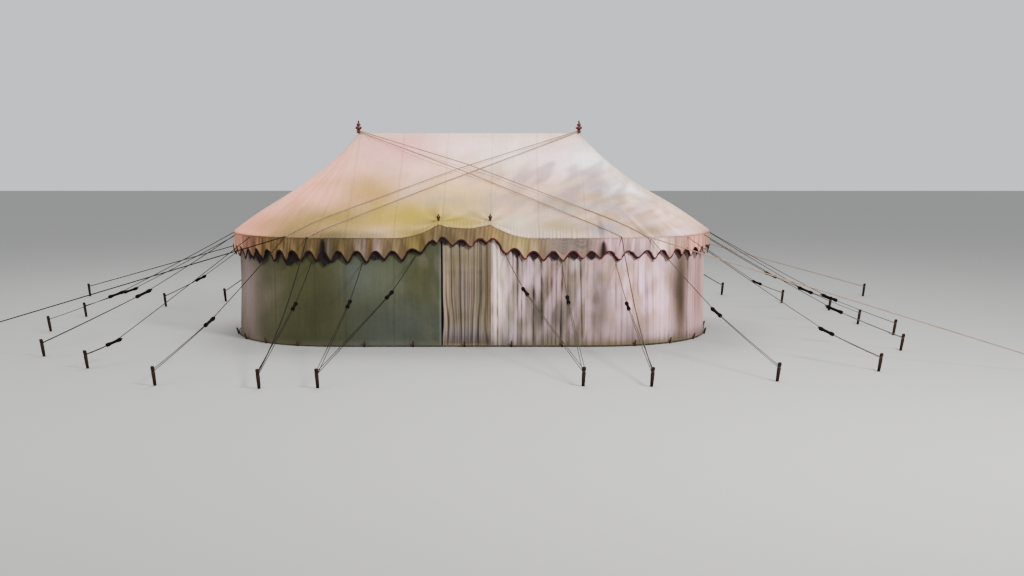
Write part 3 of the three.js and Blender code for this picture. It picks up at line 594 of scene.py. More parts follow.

# Valance: a scalloped band that hangs from the eave, bound in wine red, with a dark lining behind it that is
# partly painted shadow under the scallops

valance = {
    "step": 0.008, "rows": 16, "arch": 0.190, "lobe": 0.303, "doorArch": 0.170, "doorLobe": 0.252,
    "pitch": 0.2555, "firstArch": -0.289, "out": 0.0045, "liningShadowIn": 0.013, "bindingWidth": 0.020,
    "bindingOut": 0.0028, "fold": (0.011, 0.19), "crease": (0.005, 0.056), "curl": (0.005, 0.016),
    "wander": (0.008, 0.6), "mostIn": -0.011, "mostOut": 0.05, "base": tone(132, 110, 86),
    "slits": (1.87, -1.93), "slit": tone(24, 18, 15), "slitFold": 0.016, "darned": (1.05, 1.85),
    "darn": (0.004, 6.5), "underRoof": 0.002, "leftLonger": 0.016, "rightShorter": 0.012,
    # The base tone and the patches are painted light and shade: olive and tan shade on the left and by the
    # door, pink and white light on the right, and dark folds.
    "patches": [
        (-1.7, -2.2, 1.36, 1.3, 0.7, 0.5, 88, 72, 42, 1),
        (-2.75, -1.8, 1.36, 0.35, 0.5, 0.3, 114, 89, 50, 0.9),
        (-3.25, -0.9, 1.36, 0.35, 0.9, 0.4, 228, 154, 128, 0.9),
        (-2.98, -1.57, 1.37, 0.16, 0.4, 0.2, 150, 103, 82, 0.85),
        (-1.85, -2.2, 1.34, 0.12, 0.4, 0.2, 78, 66, 42, 0.8),
        (-1.4, -2.2, 1.37, 0.2, 0.4, 0.3, 106, 92, 74, 0.9),
        (-1, -2.2, 1.37, 0.3, 0.4, 0.3, 120, 100, 72, 0.9),
        (-0.62, -2.2, 1.43, 0.2, 0.4, 0.3, 104, 88, 46, 0.95),
        (0, -2.2, 1.5, 0.45, 0.4, 0.3, 104, 86, 60, 0.97),
        (0.42, -2.2, 1.5, 0.12, 0.4, 0.3, 150, 118, 70, 0.85),
        (0.76, -2.2, 1.42, 0.28, 0.4, 0.3, 158, 136, 84, 0.95),
        (1.45, -2.2, 1.42, 0.42, 0.4, 0.3, 116, 101, 94, 0.97),
        (1.45, -2.2, 1.22, 0.5, 0.4, 0.06, 160, 110, 92, 0.6),
        (2.02, -2.1, 1.4, 0.22, 0.4, 0.3, 228, 170, 184, 0.9),
        (2.4, -2.05, 1.4, 0.25, 0.4, 0.3, 226, 178, 188, 0.85),
        (2.7, -1.9, 1.38, 0.25, 0.5, 0.3, 244, 206, 200, 0.9),
        (3.2, -1.2, 1.38, 0.35, 0.9, 0.3, 240, 158, 144, 0.9),
        (-1.9, -2.2, 1.34, 0.05, 0.4, 0.2, 50, 42, 34, 0.7),
        (-1.37, -2.2, 1.37, 0.06, 0.4, 0.3, 120, 100, 94, 0.85),
        (-1.28, -2.2, 1.37, 0.04, 0.4, 0.3, 92, 70, 38, 0.9),
        (-1.19, -2.2, 1.37, 0.05, 0.4, 0.3, 142, 118, 114, 0.9),
        (-1.83, -2.2, 1.37, 0.035, 0.4, 0.3, 90, 84, 76, 0.8),
        (-2.08, -2.2, 1.4, 0.03, 0.4, 0.2, 120, 96, 68, 0.7),
    ],
    "arches": [
        -5.24, -4.985, -4.73, -4.475, -4.22, -3.96, -3.70, -3.46, -3.22, -2.99, -2.765, -2.546, -2.351,
        -2.105, -1.911, -1.706, -1.452, -1.197, -0.971, -0.715, -0.442, -0.29, -0.036, 0.21, 0.41, 0.695,
        0.939, 1.209, 1.473, 1.713, 1.969, 2.233, 2.512, 2.736, 3.025, 3.233, 3.446, 3.70, 3.955, 4.21,
        4.465, 4.72, 4.975, 5.23,
    ],
}
# How the dark lining shows: discs in the arches and bands along the edge (start, end, depth), and deep points
# (place, width, depth), by arc place on the front, in metres. The discs are partly wine lining and partly
# painted shadow; the bands and the deep points are painted shadow under the lobes.
liningShadows = {
    "most": 90, "half": 0.28, "backDisc": (0.06, 0.26),
    "discs": [(0.56, 1.85, 0.112), (-0.36, 0.08, 0.080)],
    "bands": [(0.08, 0.56, 0.030), (1.85, 3.6, 0.034), (-2.2, -0.36, 0.022), (-3.5, -2.2, 0.028)],
    "points": [(-3.18, 0.09, 0.03), (-2.95, 0.14, 0.075), (-2.43, 0.13, 0.080), (-2.33, 0.09, 0.03),
               (-1.89, 0.11, 0.080), (-1.77, 0.12, 0.015), (-1.20, 0.09, -0.005), (-2.66, 0.06, 0.0)],
}


# Shape of the valance's edge by arc place: how far it drops and how far the dark lining behind it shows,
# which is partly painted shadow
def valanceEdge(part, front, seed):
    u = part["u"]
    phase = (u - 2 * poleX - rightLength + valance["firstArch"]) / valance["pitch"]
    arch, lobe = valance["arch"] + 0 * u, valance["lobe"] + 0 * u
    if front:
        phase = np.interp(u, valance["arches"], np.arange(len(valance["arches"])))
        arch += (valance["doorArch"] - valance["arch"]) * doorShare(part["x"])
        lobe += (valance["doorLobe"] - valance["lobe"]) * doorShare(part["x"])
        lobe += valance["leftLonger"] * smooth(-0.8, -1.4, part["x"])
        lobe -= valance["rightShorter"] * smooth(0.9, 1.3, part["x"])
    draw, most = np.random.default_rng(seed), liningShadows["most"]
    number, inArch = np.round(phase).astype(int) % most, phase - np.round(phase)
    longer = draw.uniform(-0.016, 0.018, most)[np.floor(phase).astype(int) % most]
    shift, size = draw.uniform(-0.03, 0.05, most)[number], draw.uniform(0.8, 1.1, most)[number]
    wave = (0.5 - 0.5 * np.cos(fullTurn * phase)) ** 1.2
    drop = arch + (lobe - arch) * wave + longer * wave
    if not front:
        depth, half = liningShadows["backDisc"]
        disc = depth * size * np.sqrt(np.clip(1 - ((inArch - shift) / half) ** 2, 0, 1))
        return phase, drop, np.maximum(arch - 0.006, arch - 0.004 + disc)
    lining = arch - 0.006
    for start, end, depth in liningShadows["discs"]:
        across = (inArch - shift) / liningShadows["half"]
        disc = depth * size * np.sqrt(np.clip(1 - across**2, 0, 1)) * (1 + 0.3 * across)
        lining = np.where((u > start) & (u < end), np.maximum(lining, arch - 0.004 + disc), lining)
    for start, end, depth in liningShadows["bands"]:
        falling = smooth(-0.02, 0.08, inArch) * smooth(0.52, 0.40, inArch) if start > 0 else 1
        band = drop - 0.02 + (depth + 0.02) * falling * size
        lining = np.where((u > start) & (u < end), np.maximum(lining, band), lining)
    for place, width, depth in liningShadows["points"]:
        hangs = np.clip(1 - np.abs((u - place) / width) ** 1.6, 0, 1)
        lining = np.maximum(lining, arch - 0.01 + (lobe - arch + depth) * hangs)
    return phase, drop, lining


# How far each point of the valance stands out from the eave, from folds, curled lobes, darns and slits
def valanceFolds(part, v, phase, seed, front):
    u = part["u"] + 0 * v
    depth, pitch = valance["fold"]
    folds = depth * pleats(u, pitch, seed) * (0.2 + 0.8 * v)
    depth, pitch = valance["crease"]
    folds = folds + depth * pleats(u + 0.03 * v, pitch, seed + 3) * (1 - 0.4 * v)
    leftward = smooth(0.3, -1.2, part["x"]) if front else 0.4
    least, more = valance["curl"]
    folds = folds + (least + more * leftward) * np.sin(fullTurn * phase + 0.9) * v**2
    depth, size = valance["wander"]
    folds = folds + depth * v**2 * ripple(u, 0 * u, size, seed + 5)
    if front:
        low, high = valance["darned"]
        worn = smooth(low, low + 0.15, part["x"]) * smooth(high, high - 0.15, part["x"])
        depth, count = valance["darn"]
        rows = np.sin(fullTurn * (v * count + 0.5 * ripple(u, v, 0.4, seed + 7)))
        folds = folds * (1 - 0.6 * worn) + depth * worn * rows * smooth(0.05, 0.25, v)
        for place in valance["slits"]:
            inward = bump(part["x"], place, 0.02 + 0.03 * v) * smooth(0.05, 0.6, v)
            folds = folds - valance["slitFold"] * inward
    flatter = 0.038 * smooth(2.2, 3.1, np.abs(part["x"]))
    return np.clip(folds, valance["mostIn"], valance["mostOut"] - flatter)


def valanceHalf(name, node, start, end, seed, front):
    stations = planStations(valance["step"])
    each = eaveLength / (len(stations["u"]) - 1)
    part = planPart(stations, start, end, round((end - start) / each) + 1)
    x, u = part["x"], part["u"]
    phase, drop, lining = valanceEdge(part, front, seed)
    top = roofHeight(x, part["y"]) - valance["underRoof"]
    v = np.linspace(0, 1, valance["rows"])[:, None]
    folds = valance["out"] + valanceFolds(part, v, phase, seed, front) * smooth(0, 0.12, v)
    points = standing(part, folds, top - v * drop)
    tint = paint(points, valance["base"], valance["patches"] if front else [], seed, plain["valance"])
    # Painted shade: darker at the top, under the eave, and in the folds that turn in.
    deep = smooth(0.7, -0.7, (folds - valance["out"]) / 0.012)
    tint *= (1 - 0.22 * (1 - smooth(0, 0.10, v)) - 0.26 * deep)[..., None]
    # Each slit is painted dark, as the shadow in the gap behind it.
    if front:
        for place in valance["slits"]:
            slit = bump(x, place + 0.012, 0.012 + 0.05 * v) * smooth(0.05, 0.35, v)
            tint += (valance["slit"] - tint) * (0.97 * slit)[..., None]
    made = clothPiece(name, points, u, v * drop, tint, looks["valance"])

    width, out, foot = valance["bindingWidth"], valance["bindingOut"], points[-1]
    side = np.stack([part["nx"], part["ny"], 0 * x], -1)
    slope = np.gradient(foot[:, 2], u)
    upward = np.stack([-slope, np.ones_like(slope)], -1) / np.hypot(slope, 1)[:, None]
    up = np.stack([-part["ny"], part["nx"], 0 * x], -1) * upward[:, :1] + np.array([0, 0, 1]) * upward[:, 1:]
    section = [(out, width), (out * 1.5, width * 0.5), (out * 1.2, 0), (0, -out), (-out * 1.2, 0),
               (-out, width)]
    binding = np.stack([foot + side * a + up * b for a, b in section])
    reach = np.array([width, width / 2, 0, -out, -2 * out, -width])[:, None] + 0 * u
    # The binding's tint: painted shade, darker towards the left, and an uneven tone along its length.
    shadeAndTone = 0.5 + 0.5 * smooth(-0.9, 0.7, x) if front else 0.8 + 0 * x
    shadeAndTone = shadeAndTone * (0.85 + 0.3 * smooth(-1, 1, ripple(u, 0 * u, 0.2, seed + 8)))
    tape = clothPiece(name + "Binding", binding, u, reach, binding * 0 + shadeAndTone[:, None], looks["binding"])
    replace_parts(made, node)

    # The lining behind, near black, is partly painted shadow under the scallops.
    thin = {key: part[key][::2] for key in part}
    rows, drop = np.linspace(0.35, 1, 6)[:, None], lining[::2]
    behind = standing(thin, valance["out"] - valance["liningShadowIn"] + 0 * rows, top[::2] - rows * drop)
    back = clothPiece(name + "Lining", behind, thin["u"], rows * drop, behind * 0 + 0.95, looks["lining"])


valanceHalf("valanceFront", "valance_front", leftTip, rightTip, 41, True)
valanceHalf("valanceBack", "valance_back", rightTip, leftTip + eaveLength, 43, False)
print("valance made")

# Walls: each sheet hangs from under the eave to the ground, inside the valance

wallLook = {
    "step": 0.012, "rows": 30, "underRoof": 0.02, "leftIn": 0.035, "rightIn": 0.02, "mostIn": -0.034,
    "mostOut": 0.016, "spare": 1.08, "footIn": -0.012, "pegged": 0.25, "hemLit": 0.05, "hemZ": 0.05,
    # The patches are painted light and shade: olive shade left of the door and towards the left end, pink and
    # white light and dark folds on the right, and dappled light and shade on the right.
    "patches": [
        (-1.45, -2.1, 0.9, 0.3, 0.5, 0.4, 74, 78, 74, 0.85),
        (-1, -2.1, 0.9, 0.35, 0.5, 0.35, 74, 78, 62, 0.75),
        (-0.6, -2.1, 0.9, 0.2, 0.4, 0.5, 62, 62, 40, 0.8), (-0.9, -2.1, 0.3, 0.8, 0.5, 0.3, 58, 62, 56, 0.8),
        (-1, -2.1, 0.04, 1.1, 0.5, 0.07, 70, 76, 72, 0.7),
        (-0.33, -2.1, 0.6, 0.012, 0.4, 1.2, 86, 90, 94, 0.8),
        (-2, -2.05, 0.5, 0.4, 0.5, 0.6, 52, 52, 34, 0.95), (-2.3, -2, 0.9, 0.3, 0.5, 0.3, 64, 64, 40, 0.7),
        (-2.65, -1.8, 0.8, 0.2, 0.5, 0.8, 80, 78, 58, 0.8),
        (-3.08, -1.2, 0.7, 0.28, 0.8, 0.9, 136, 116, 114, 1),
        (0.45, -2.1, 0.8, 0.12, 0.4, 0.8, 244, 216, 200, 0.97),
        (0.62, -2.1, 0.15, 0.15, 0.4, 0.2, 126, 116, 120, 0.7),
        (0.9, -2.1, 0.95, 0.18, 0.4, 0.3, 158, 134, 134, 0.8),
        (1.03, -2.1, 0.45, 0.2, 0.4, 0.3, 82, 74, 66, 0.95),
        (1.3, -2.1, 0.95, 0.2, 0.4, 0.25, 108, 86, 74, 0.85),
        (1.25, -2.1, 0.4, 0.2, 0.4, 0.3, 82, 74, 68, 0.75),
        (1.5, -2.1, 0.4, 0.16, 0.4, 0.3, 94, 82, 74, 0.8),
        (1.85, -2.1, 0.6, 0.18, 0.4, 0.8, 92, 80, 74, 0.95),
        (2.12, -2.05, 0.65, 0.14, 0.4, 0.6, 200, 164, 174, 0.8),
        (2.45, -1.97, 0.85, 0.25, 0.4, 0.4, 244, 198, 214, 0.95),
        (2.3, -2, 0.2, 0.3, 0.4, 0.22, 118, 98, 98, 0.8),
        (2.69, -1.83, 0.65, 0.16, 0.4, 0.6, 228, 182, 196, 0.9),
        (3, -1.58, 0.7, 0.13, 0.4, 0.9, 60, 50, 38, 1),
        (3.3, -1.1, 0.7, 0.16, 0.5, 0.8, 162, 118, 116, 0.95),
        (1.2, -2.1, 0.7, 0.9, 0.5, 0.7, 80, 72, 64, 0.55, 0.16, 1.3, 0.3, 0),
        (1, -2.1, 0.8, 1, 0.5, 0.7, 244, 194, 220, 0.45, 0.2, 1.2, 0.45, 0.3),
        (2.3, -2, 0.8, 0.7, 0.5, 0.6, 150, 112, 78, 0.5, 0.2, 1.2, 0.5, 0.2),
        (2.4, -2, 0.02, 1.1, 0.6, 0.05, 118, 112, 62, 0.9),
    ],
}


# A plan point of the eave, drawn in along its ray to the wall
def wallPoint(x, y):
    share = 1 - wallSet["sideIn"] / halfWidth
    share = share - (wallSet["endIn"] - wallSet["sideIn"]) / tent["rightReach"] * alongShare(x) ** power
    within = np.clip(x, -poleX, poleX)
    return within + (x - within) * share, y * share


def wallPlan(start, end, count):
    part = planPart(fine, start, end, count)
    x, y = wallPoint(part["x"], part["y"])
    return {"x": x, "y": y, "u": part["u"], **outwards(x, y)}


def wallSheet(name, node, start, end, seed, gather, base, foldAt=None, shading=0.34, pitch=0.09,
              step=wallLook["step"], patches=wallLook["patches"], look="wall"):
    part = wallPlan(start, end, max(2, round((end - start) / step) + 1))
    x = part["x"]
    top = roofHeight(x, part["y"]) - wallLook["underRoof"]
    v = np.linspace(0, 1, wallLook["rows"])[:, None]
    z = top * (1 - v)
    u = part["u"] + 0.05 * v * ripple(part["u"], 0 * v, 0.5, seed + 9)
    amount = gather(part) if callable(gather) else gather
    folds = amount * pleats(u, pitch, seed) * (0.65 + 0.45 * ripple(u, v * 1.5, 0.35, seed + 2))
    folds = folds + 0.35 * amount * pleats(u + 0.02 * v, pitch * 0.41, seed + 4)
    folds = folds + 0.004 * ripple(u, z, 0.8, seed + 6, 2.0) * np.sin(math.pi * v)
    if foldAt:
        folds = folds + foldAt(part, v, z)
    free = smooth(0.0, wallLook["pegged"], z)
    relief = wallLook["footIn"] * (1 - free) + folds * (0.45 + 0.55 * free)
    relief = np.clip(relief, wallLook["mostIn"], np.where(z < 0.05, -0.001, wallLook["mostOut"]))
    drawnIn = np.where(x < 0, wallLook["leftIn"], wallLook["rightIn"]) * smooth(1.9, 3.0, np.abs(x))
    points = standing(part, relief - drawnIn * np.sqrt(np.sin(math.pi * np.clip(v, 0, 1))), z)
    tint = paint(points, base, patches, seed, plain["wall"])
    hollow = smooth(0.3, -1.0, (relief + 0.004) / (0.010 + np.max(amount)))
    tint *= (1 - shading * hollow * np.minimum(1, amount / 0.006))[..., None]
    hem = smooth(wallLook["hemZ"] + 0.005, wallLook["hemZ"] - 0.005, z)
    tint *= (1 + wallLook["hemLit"] * hem)[..., None]
    made = clothPiece(name, points, part["u"], top - z, tint, looks[look])
    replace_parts(made, node)


# Creases that run from the door foot of the left wall up and away
def doorFootCreases(part, v, z):
    dx = door["slitLeft"] - part["x"]
    return 0.007 * np.sin(fullTurn * (dx * 0.62 + z) / 0.10) * np.exp(-dx / 0.28) * smooth(0.5, 0.05, z)


# Two folds stand out from the gathered wall on the right of the door.
def rightFolds(part, v, z):
    x = part["x"] - 0.05 * v
    folds = -0.02 * bump(part["x"] + 0.03 * v, 1.77, 0.03) * smooth(0.05, 0.3, z)
    return folds + 0.012 * bump(x, 0.62, 0.03) - 0.012 * bump(x, 0.70, 0.03)


backStart, backEnd = poleX + rightLength, 3 * poleX + rightLength
# The base tones are painted light and shade: dark olive shade on the front left, partly a greyer panel, and
# on the left end; pink light on the right end.
wallSheet("wallFrontLeft", "wall_front_left", -poleX, door["slitLeft"], 61,
          lambda part: 0.0012 + 0 * part["x"], tone(58, 60, 44), doorFootCreases)
wallSheet("wallFrontRight", "wall_front_right", door["wallRight"], poleX, 62,
          lambda part: 0.008 + 0.010 * smooth(2.2, 1.5, part["x"]), tone(140, 124, 114), rightFolds,
          shading=0.8, pitch=0.075)
wallSheet("wallRightEnd", "wall_right_end", poleX, backStart, 63,
          lambda part: 0.003 + 0.005 * smooth(0.2, -1.2, part["y"]), tone(202, 164, 166), shading=0.6)
wallSheet("wallBack", "wall_back", backStart, backEnd, 64, 0.003, plain["wall"])
wallSheet("wallLeftEnd", "wall_left_end", backEnd, eaveLength - poleX, 65,
          lambda part: 0.003 - 0.0015 * smooth(0.2, -1.2, part["y"]), tone(64, 64, 42))
print("walls made")

# Door curtain: pleated, with a stitched seam low under the valance, and fanned out at its foot

# The curtain's base tone and patches are painted light and shade: lit ridges, dark shade by the right wall's
# edge, and light at its foot.
curtain = {
    "step": 0.004, "pitch": 0.075, "finePitch": 0.034, "seamZ": 1.04, "gather": 0.006, "shading": 0.54,
    "base": tone(116, 102, 86),
    "patches": [
        (-0.24, -2.1, 0.9, 0.05, 0.3, 0.6, 162, 138, 116, 0.8),
        (-0.16, -2.1, 1, 0.06, 0.3, 0.2, 90, 82, 60, 0.7),
        (-0.05, -2.1, 1.2, 0.25, 0.3, 0.1, 96, 86, 62, 0.8),
        (0, -2.1, 0.6, 0.12, 0.3, 0.35, 138, 122, 112, 0.8),
        (0.22, -2.1, 0.75, 0.05, 0.3, 0.5, 90, 82, 66, 0.9),
        (0.31, -2.1, 0.9, 0.025, 0.3, 0.9, 68, 58, 38, 0.85),
        (-0.05, -2.1, 0.42, 0.14, 0.3, 0.08, 92, 82, 58, 0.5),
        (0, -2.1, 0.15, 0.4, 0.3, 0.12, 104, 97, 102, 0.75),
        (0, -2.1, 0.01, 0.4, 0.3, 0.03, 236, 194, 148, 0.9),
    ],
}


def curtainFolds(part, v, z):
    middle = (door["curtainLeft"] + door["curtainRight"]) / 2
    fan = (part["x"] - middle) * (1 - 0.12 * smooth(0.5, 0.0, z))
    at = fan + 0.05 * smooth(0.75, 0.1, z) * np.sin(part["x"] * 9) + 0 * v
    seam = 0.0015 * bump(z, curtain["seamZ"], 0.012) - 0.002 * bump(z, curtain["seamZ"] - 0.022, 0.010)
    folds = 0.0125 * pleats(at + 1.0, curtain["pitch"], 71)
    folds = folds + 0.006 * pleats(at + 1.0 + 0.01 * z, curtain["finePitch"], 73)
    deep = 0.75 + 0.25 * smooth(0.9, 0.3, z)
    return deep * folds * (0.8 + 0.3 * ripple(at, z, 0.5, 75, 3.0)) - 0.005 + seam


wallSheet("doorCurtain", "door_curtain", door["curtainLeft"], door["curtainRight"], 70, curtain["gather"],
          curtain["base"], curtainFolds, curtain["shading"], curtain["pitch"], curtain["step"],
          curtain["patches"], "curtain")
print("curtain made")

# Turned wood: a profile of (radius, height) pairs is spun round the upright, and the part is set on its foot
# along its axis. Its UV runs round it and down its profile, in metres.

def turn(work, layer, profile, sides, foot, axis=(0, 0, 1), number=0, uneven=0.0, seed=0, away=(0, 0)):
    axis = Vector(axis).normalized()
    across = axis.orthogonal().normalized()
    ways = np.array([across, axis.cross(across), axis])
    earlier = set(work.faces)
    outline = [work.verts.new((radius, 0, height)) for radius, height in profile]
    outline += [work.edges.new(pair) for pair in zip(outline, outline[1:])]
    bmesh.ops.spin(work, geom=outline, cent=(0, 0, 0), axis=(0, 0, 1), angle=fullTurn, steps=sides,
                   use_merge=True)
    faces = [face for face in work.faces if face not in earlier]

    profile = np.array(profile, float)
    spots = np.array([[loop.vert.co for loop in face.loops] for face in faces])
    radius, angle = np.hypot(spots[..., 0], spots[..., 1]), np.arctan2(spots[..., 1], spots[..., 0])
    middle = spots.mean(1)
    facing = np.arctan2(middle[:, 1], middle[:, 0])[:, None] % fullTurn
    around = facing + np.where(radius > 1e-6, (angle - facing + math.pi) % fullTurn - math.pi, 0)
    nearest = np.abs(radius[..., None] - profile[:, 0]) + np.abs(spots[..., 2:] - profile[:, 1])
    run = runAlong(*profile.T)[nearest.argmin(-1)]
    for face, corners in zip(faces, np.stack([around * profile[:, 0].max(), run], -1)):
        face.material_index = number
        for loop, uv in zip(face.loops, corners):
            loop[layer].uv = uv

    verts = list(dict.fromkeys(vert for face in faces for vert in face.verts))
    spots = np.array([vert.co for vert in verts], float)
    angle = np.arctan2(spots[:, 1], spots[:, 0])
    wobble = 1 + uneven * ripple(np.cos(angle) * 2, spots[:, 2] * 9 + np.sin(angle) * 2, 2.0, seed)
    spots[:, :2] *= wobble[:, None]
    spots = spots @ ways + np.array(foot, float)
    spots[:, :2] += np.array(away) * spots[:, 2:]  # leans outwards as it rises
    for vert, spot in zip(verts, spots):
        vert.co = spot


# Turned parts as one piece, with any rope grids on it
def turnedPiece(name, parts, materials, grids=()):
    mesh = gridMesh(name, grids) if grids else bpy.data.meshes.new(name)
    work = bmesh.new()
    work.from_mesh(mesh)
    layer = work.loops.layers.uv.get("cloth") or work.loops.layers.uv.new("cloth")
    for part in parts:
        turn(work, layer, **part)
    bmesh.ops.remove_doubles(work, verts=work.verts, dist=1e-5)
    bmesh.ops.recalc_face_normals(work, faces=work.faces)
    work.to_mesh(mesh)
    work.free()
    return dressPiece(name, mesh, materials)


# Rounds a profile off with a spline through its points
def rounded(profile):
    profile = np.array(profile, float)
    ends = np.concatenate([profile[:1] * 2 - profile[1:2], profile, profile[-1:] * 2 - profile[-2:-1]])
    spots = []
    for i in range(1, len(ends) - 2):
        a, b, c, d = ends[i - 1:i + 3]
        for t in (0, 0.25, 0.5, 0.75):
            spots.append(0.5 * (2 * b + (c - a) * t + (2 * a - 5 * b + 4 * c - d) * t**2
                                + (3 * b - a - 3 * c + d) * t**3))
    spots = np.array(spots + [profile[-1]])
    spots[:, 0] = np.maximum(spots[:, 0], 0)
    return spots


# A rope along a path, with its length in metres in its UV
def ropeGrid(path, radius, sides=8):
    path = np.array(path, float)
    run = np.concatenate([[0], np.cumsum(np.linalg.norm(np.diff(path, axis=0), axis=1))])
    along = np.gradient(path, axis=0)
    along /= np.linalg.norm(along, axis=1, keepdims=True)
    up = np.array([0.0, 0.0, 1.0]) if abs(along[0][2]) < 0.9 else np.array([1.0, 0.0, 0.0])
    angle = np.linspace(0, -fullTurn, sides + 1)[:, None]
    rings = []
    for way in along:
        aside = np.cross(way, up)
        aside /= np.linalg.norm(aside)
        up = np.cross(aside, way)
        rings.append(radius * (np.cos(angle) * aside + np.sin(angle) * up))
    uv = np.stack(np.broadcast_arrays(run[:, None], np.linspace(0, 1, sides + 1)[None, :]), -1)
    points = path[:, None, :] + np.array(rings)
    return points[:, ::-1], uv[:, ::-1]  # so that the faces point outwards


# A ring of rope round an upright, rising and falling a little
def ringGrid(x, y, z, radius, cordR, count, rise, phase):
    turn = np.linspace(0, fullTurn, count)
    height = z + rise * np.sin(turn + phase)
    return ropeGrid(np.stack([x + radius * np.cos(turn), y + radius * np.sin(turn), height], -1), cordR)


# Finials: turned wood on the ridge's ends and over the door poles, with rope eyes on the ridge ones

ridgeFinial = {
    "sides": 40, "neckTop": 0.040,
    "neck": [(0.0, -0.003), (0.007, -0.003), (0.007, 0.002), (0.0195, 0.004), (0.0195, 0.040)],
    "urn": [(0.0195, 0.0), (0.024, 0.002), (0.025, 0.006), (0.020, 0.010), (0.034, 0.017), (0.047, 0.028),
            (0.0505, 0.040), (0.047, 0.051), (0.034, 0.062), (0.0245, 0.069), (0.0285, 0.078),
            (0.0315, 0.087), (0.029, 0.097), (0.019, 0.107), (0.0135, 0.115), (0.0135, 0.128),
            (0.012, 0.141), (0.006, 0.148), (0.0, 0.149)],
    "eyes": [0.009, 0.022, 0.035], "eyeR": 0.026, "cordR": 0.0065,
}
doorFinial = {
    "sides": 36, "lift": 0.0015,
    "profile": [(0.0, -0.002), (0.0058, -0.002), (0.0058, 0.013), (0.024, 0.0155), (0.025, 0.021),
                (0.0125, 0.029), (0.019, 0.037), (0.0265, 0.049), (0.0275, 0.060), (0.021, 0.074),
                (0.009, 0.084), (0.0105, 0.092), (0.005, 0.100), (0.003, 0.106), (0.0, 0.112)],
}
for name, side in (("Left", -1), ("Right", 1)):
    foot = (side * poleX, 0, ridgeZ)
    urn = rounded(ridgeFinial["urn"]) + (0, ridgeFinial["neckTop"])
    parts = [{"profile": profile, "sides": ridgeFinial["sides"], "foot": foot}
             for profile in (ridgeFinial["neck"], urn)]
    eyes = []
    for k, lift in enumerate(ridgeFinial["eyes"]):
        eye = ringGrid(foot[0], 0, ridgeZ + lift, ridgeFinial["eyeR"], ridgeFinial["cordR"], 41, 0.002, 2 * k)
        eyes.append((*eye, 1))
    made = turnedPiece("ridgeFinial" + name, parts, [looks["finial"], looks["guy"]], eyes)
    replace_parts(made, "ridge_finial_" + name.lower())
    x, y = side * door["poleX"], door["poleY"]
    foot = (x, y, roofHeight(x, y) + doorFinial["lift"])
    parts = [{"profile": rounded(doorFinial["profile"]), "sides": doorFinial["sides"], "foot": foot}]
    made = turnedPiece("doorFinial" + name, parts, [looks["doorFinial"]])
    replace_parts(made, "door_finial_" + name.lower())
print("finials made")

# Guys: rope, wooden slider and stake. Storm ropes run over the canvas like taut strings, each to a stake.

rope = {
    "guyR": 0.0055, "strandR": 0.0045, "stormR": 0.0075, "loopHalf": 0.016, "sag": 0.1, "slack": 0.048,
    "offFace": 0.0003, "samples": 20, "knot": (0.002, 0.012, 0.022), "knotR": 0.01045,
}
stake = {
    "lean": 0.16, "neckZ": 0.175, "loopR": 0.0215, "sides": 14, "uneven": 0.05,
    "profile": [(0.0, 0.0), (0.019, 0.0), (0.0215, 0.07), (0.0238, 0.157), (0.0178, 0.167), (0.0168, 0.175),
                (0.0182, 0.184), (0.0243, 0.192), (0.0238, 0.212), (0.0205, 0.226), (0.014, 0.230),
                (0.0, 0.2305)],
}
slider = {
    "half": 0.12, "sides": 18,
    "profile": [(0.0, 0.0), (0.019, 0.001), (0.0255, 0.010), (0.0265, 0.028), (0.0255, 0.046),
                (0.0215, 0.062), (0.0192, 0.080), (0.0186, 0.120), (0.0192, 0.160), (0.0215, 0.178),
                (0.0255, 0.194), (0.0265, 0.212), (0.0255, 0.230), (0.019, 0.239), (0.0, 0.240)],
}
storm = {
    "lift": 0.0135, "edge": {"corner": 0.0115, "far": 0.010}, "start": {"corner": 0.016, "far": 0.032},
    "sag": {"corner": 0.16, "far": 0.0}, "neckGap": 0.023, "crossGap": 0.0044, "slack": 0.0008, "samples": 60,
    "sides": 10, "cornerEaveX": 2.13, "stake": (7.0, 4.28), "eaveX": {"left": -2.44, "right": 2.48},
}
hold = {"down": 0.028, "off": 0.0063}
laid = []


# A stake stands at its foot and leans away from the tent's middle; the ropes hold round its neck.
def stakeSet(foot, seed):
    away = np.array(foot) / np.hypot(*foot) * stake["lean"]
    neck = np.array([*(foot + away * stake["neckZ"]), stake["neckZ"]])
    loop = ringGrid(*neck, stake["loopR"], rope["strandR"], 25, 0.004, seed + math.pi / 2)
    body = {"profile": stake["profile"], "sides": stake["sides"], "foot": (*foot, 0), "away": away,
            "uneven": stake["uneven"], "seed": seed}
    return neck, [(*loop, 0)], [body]


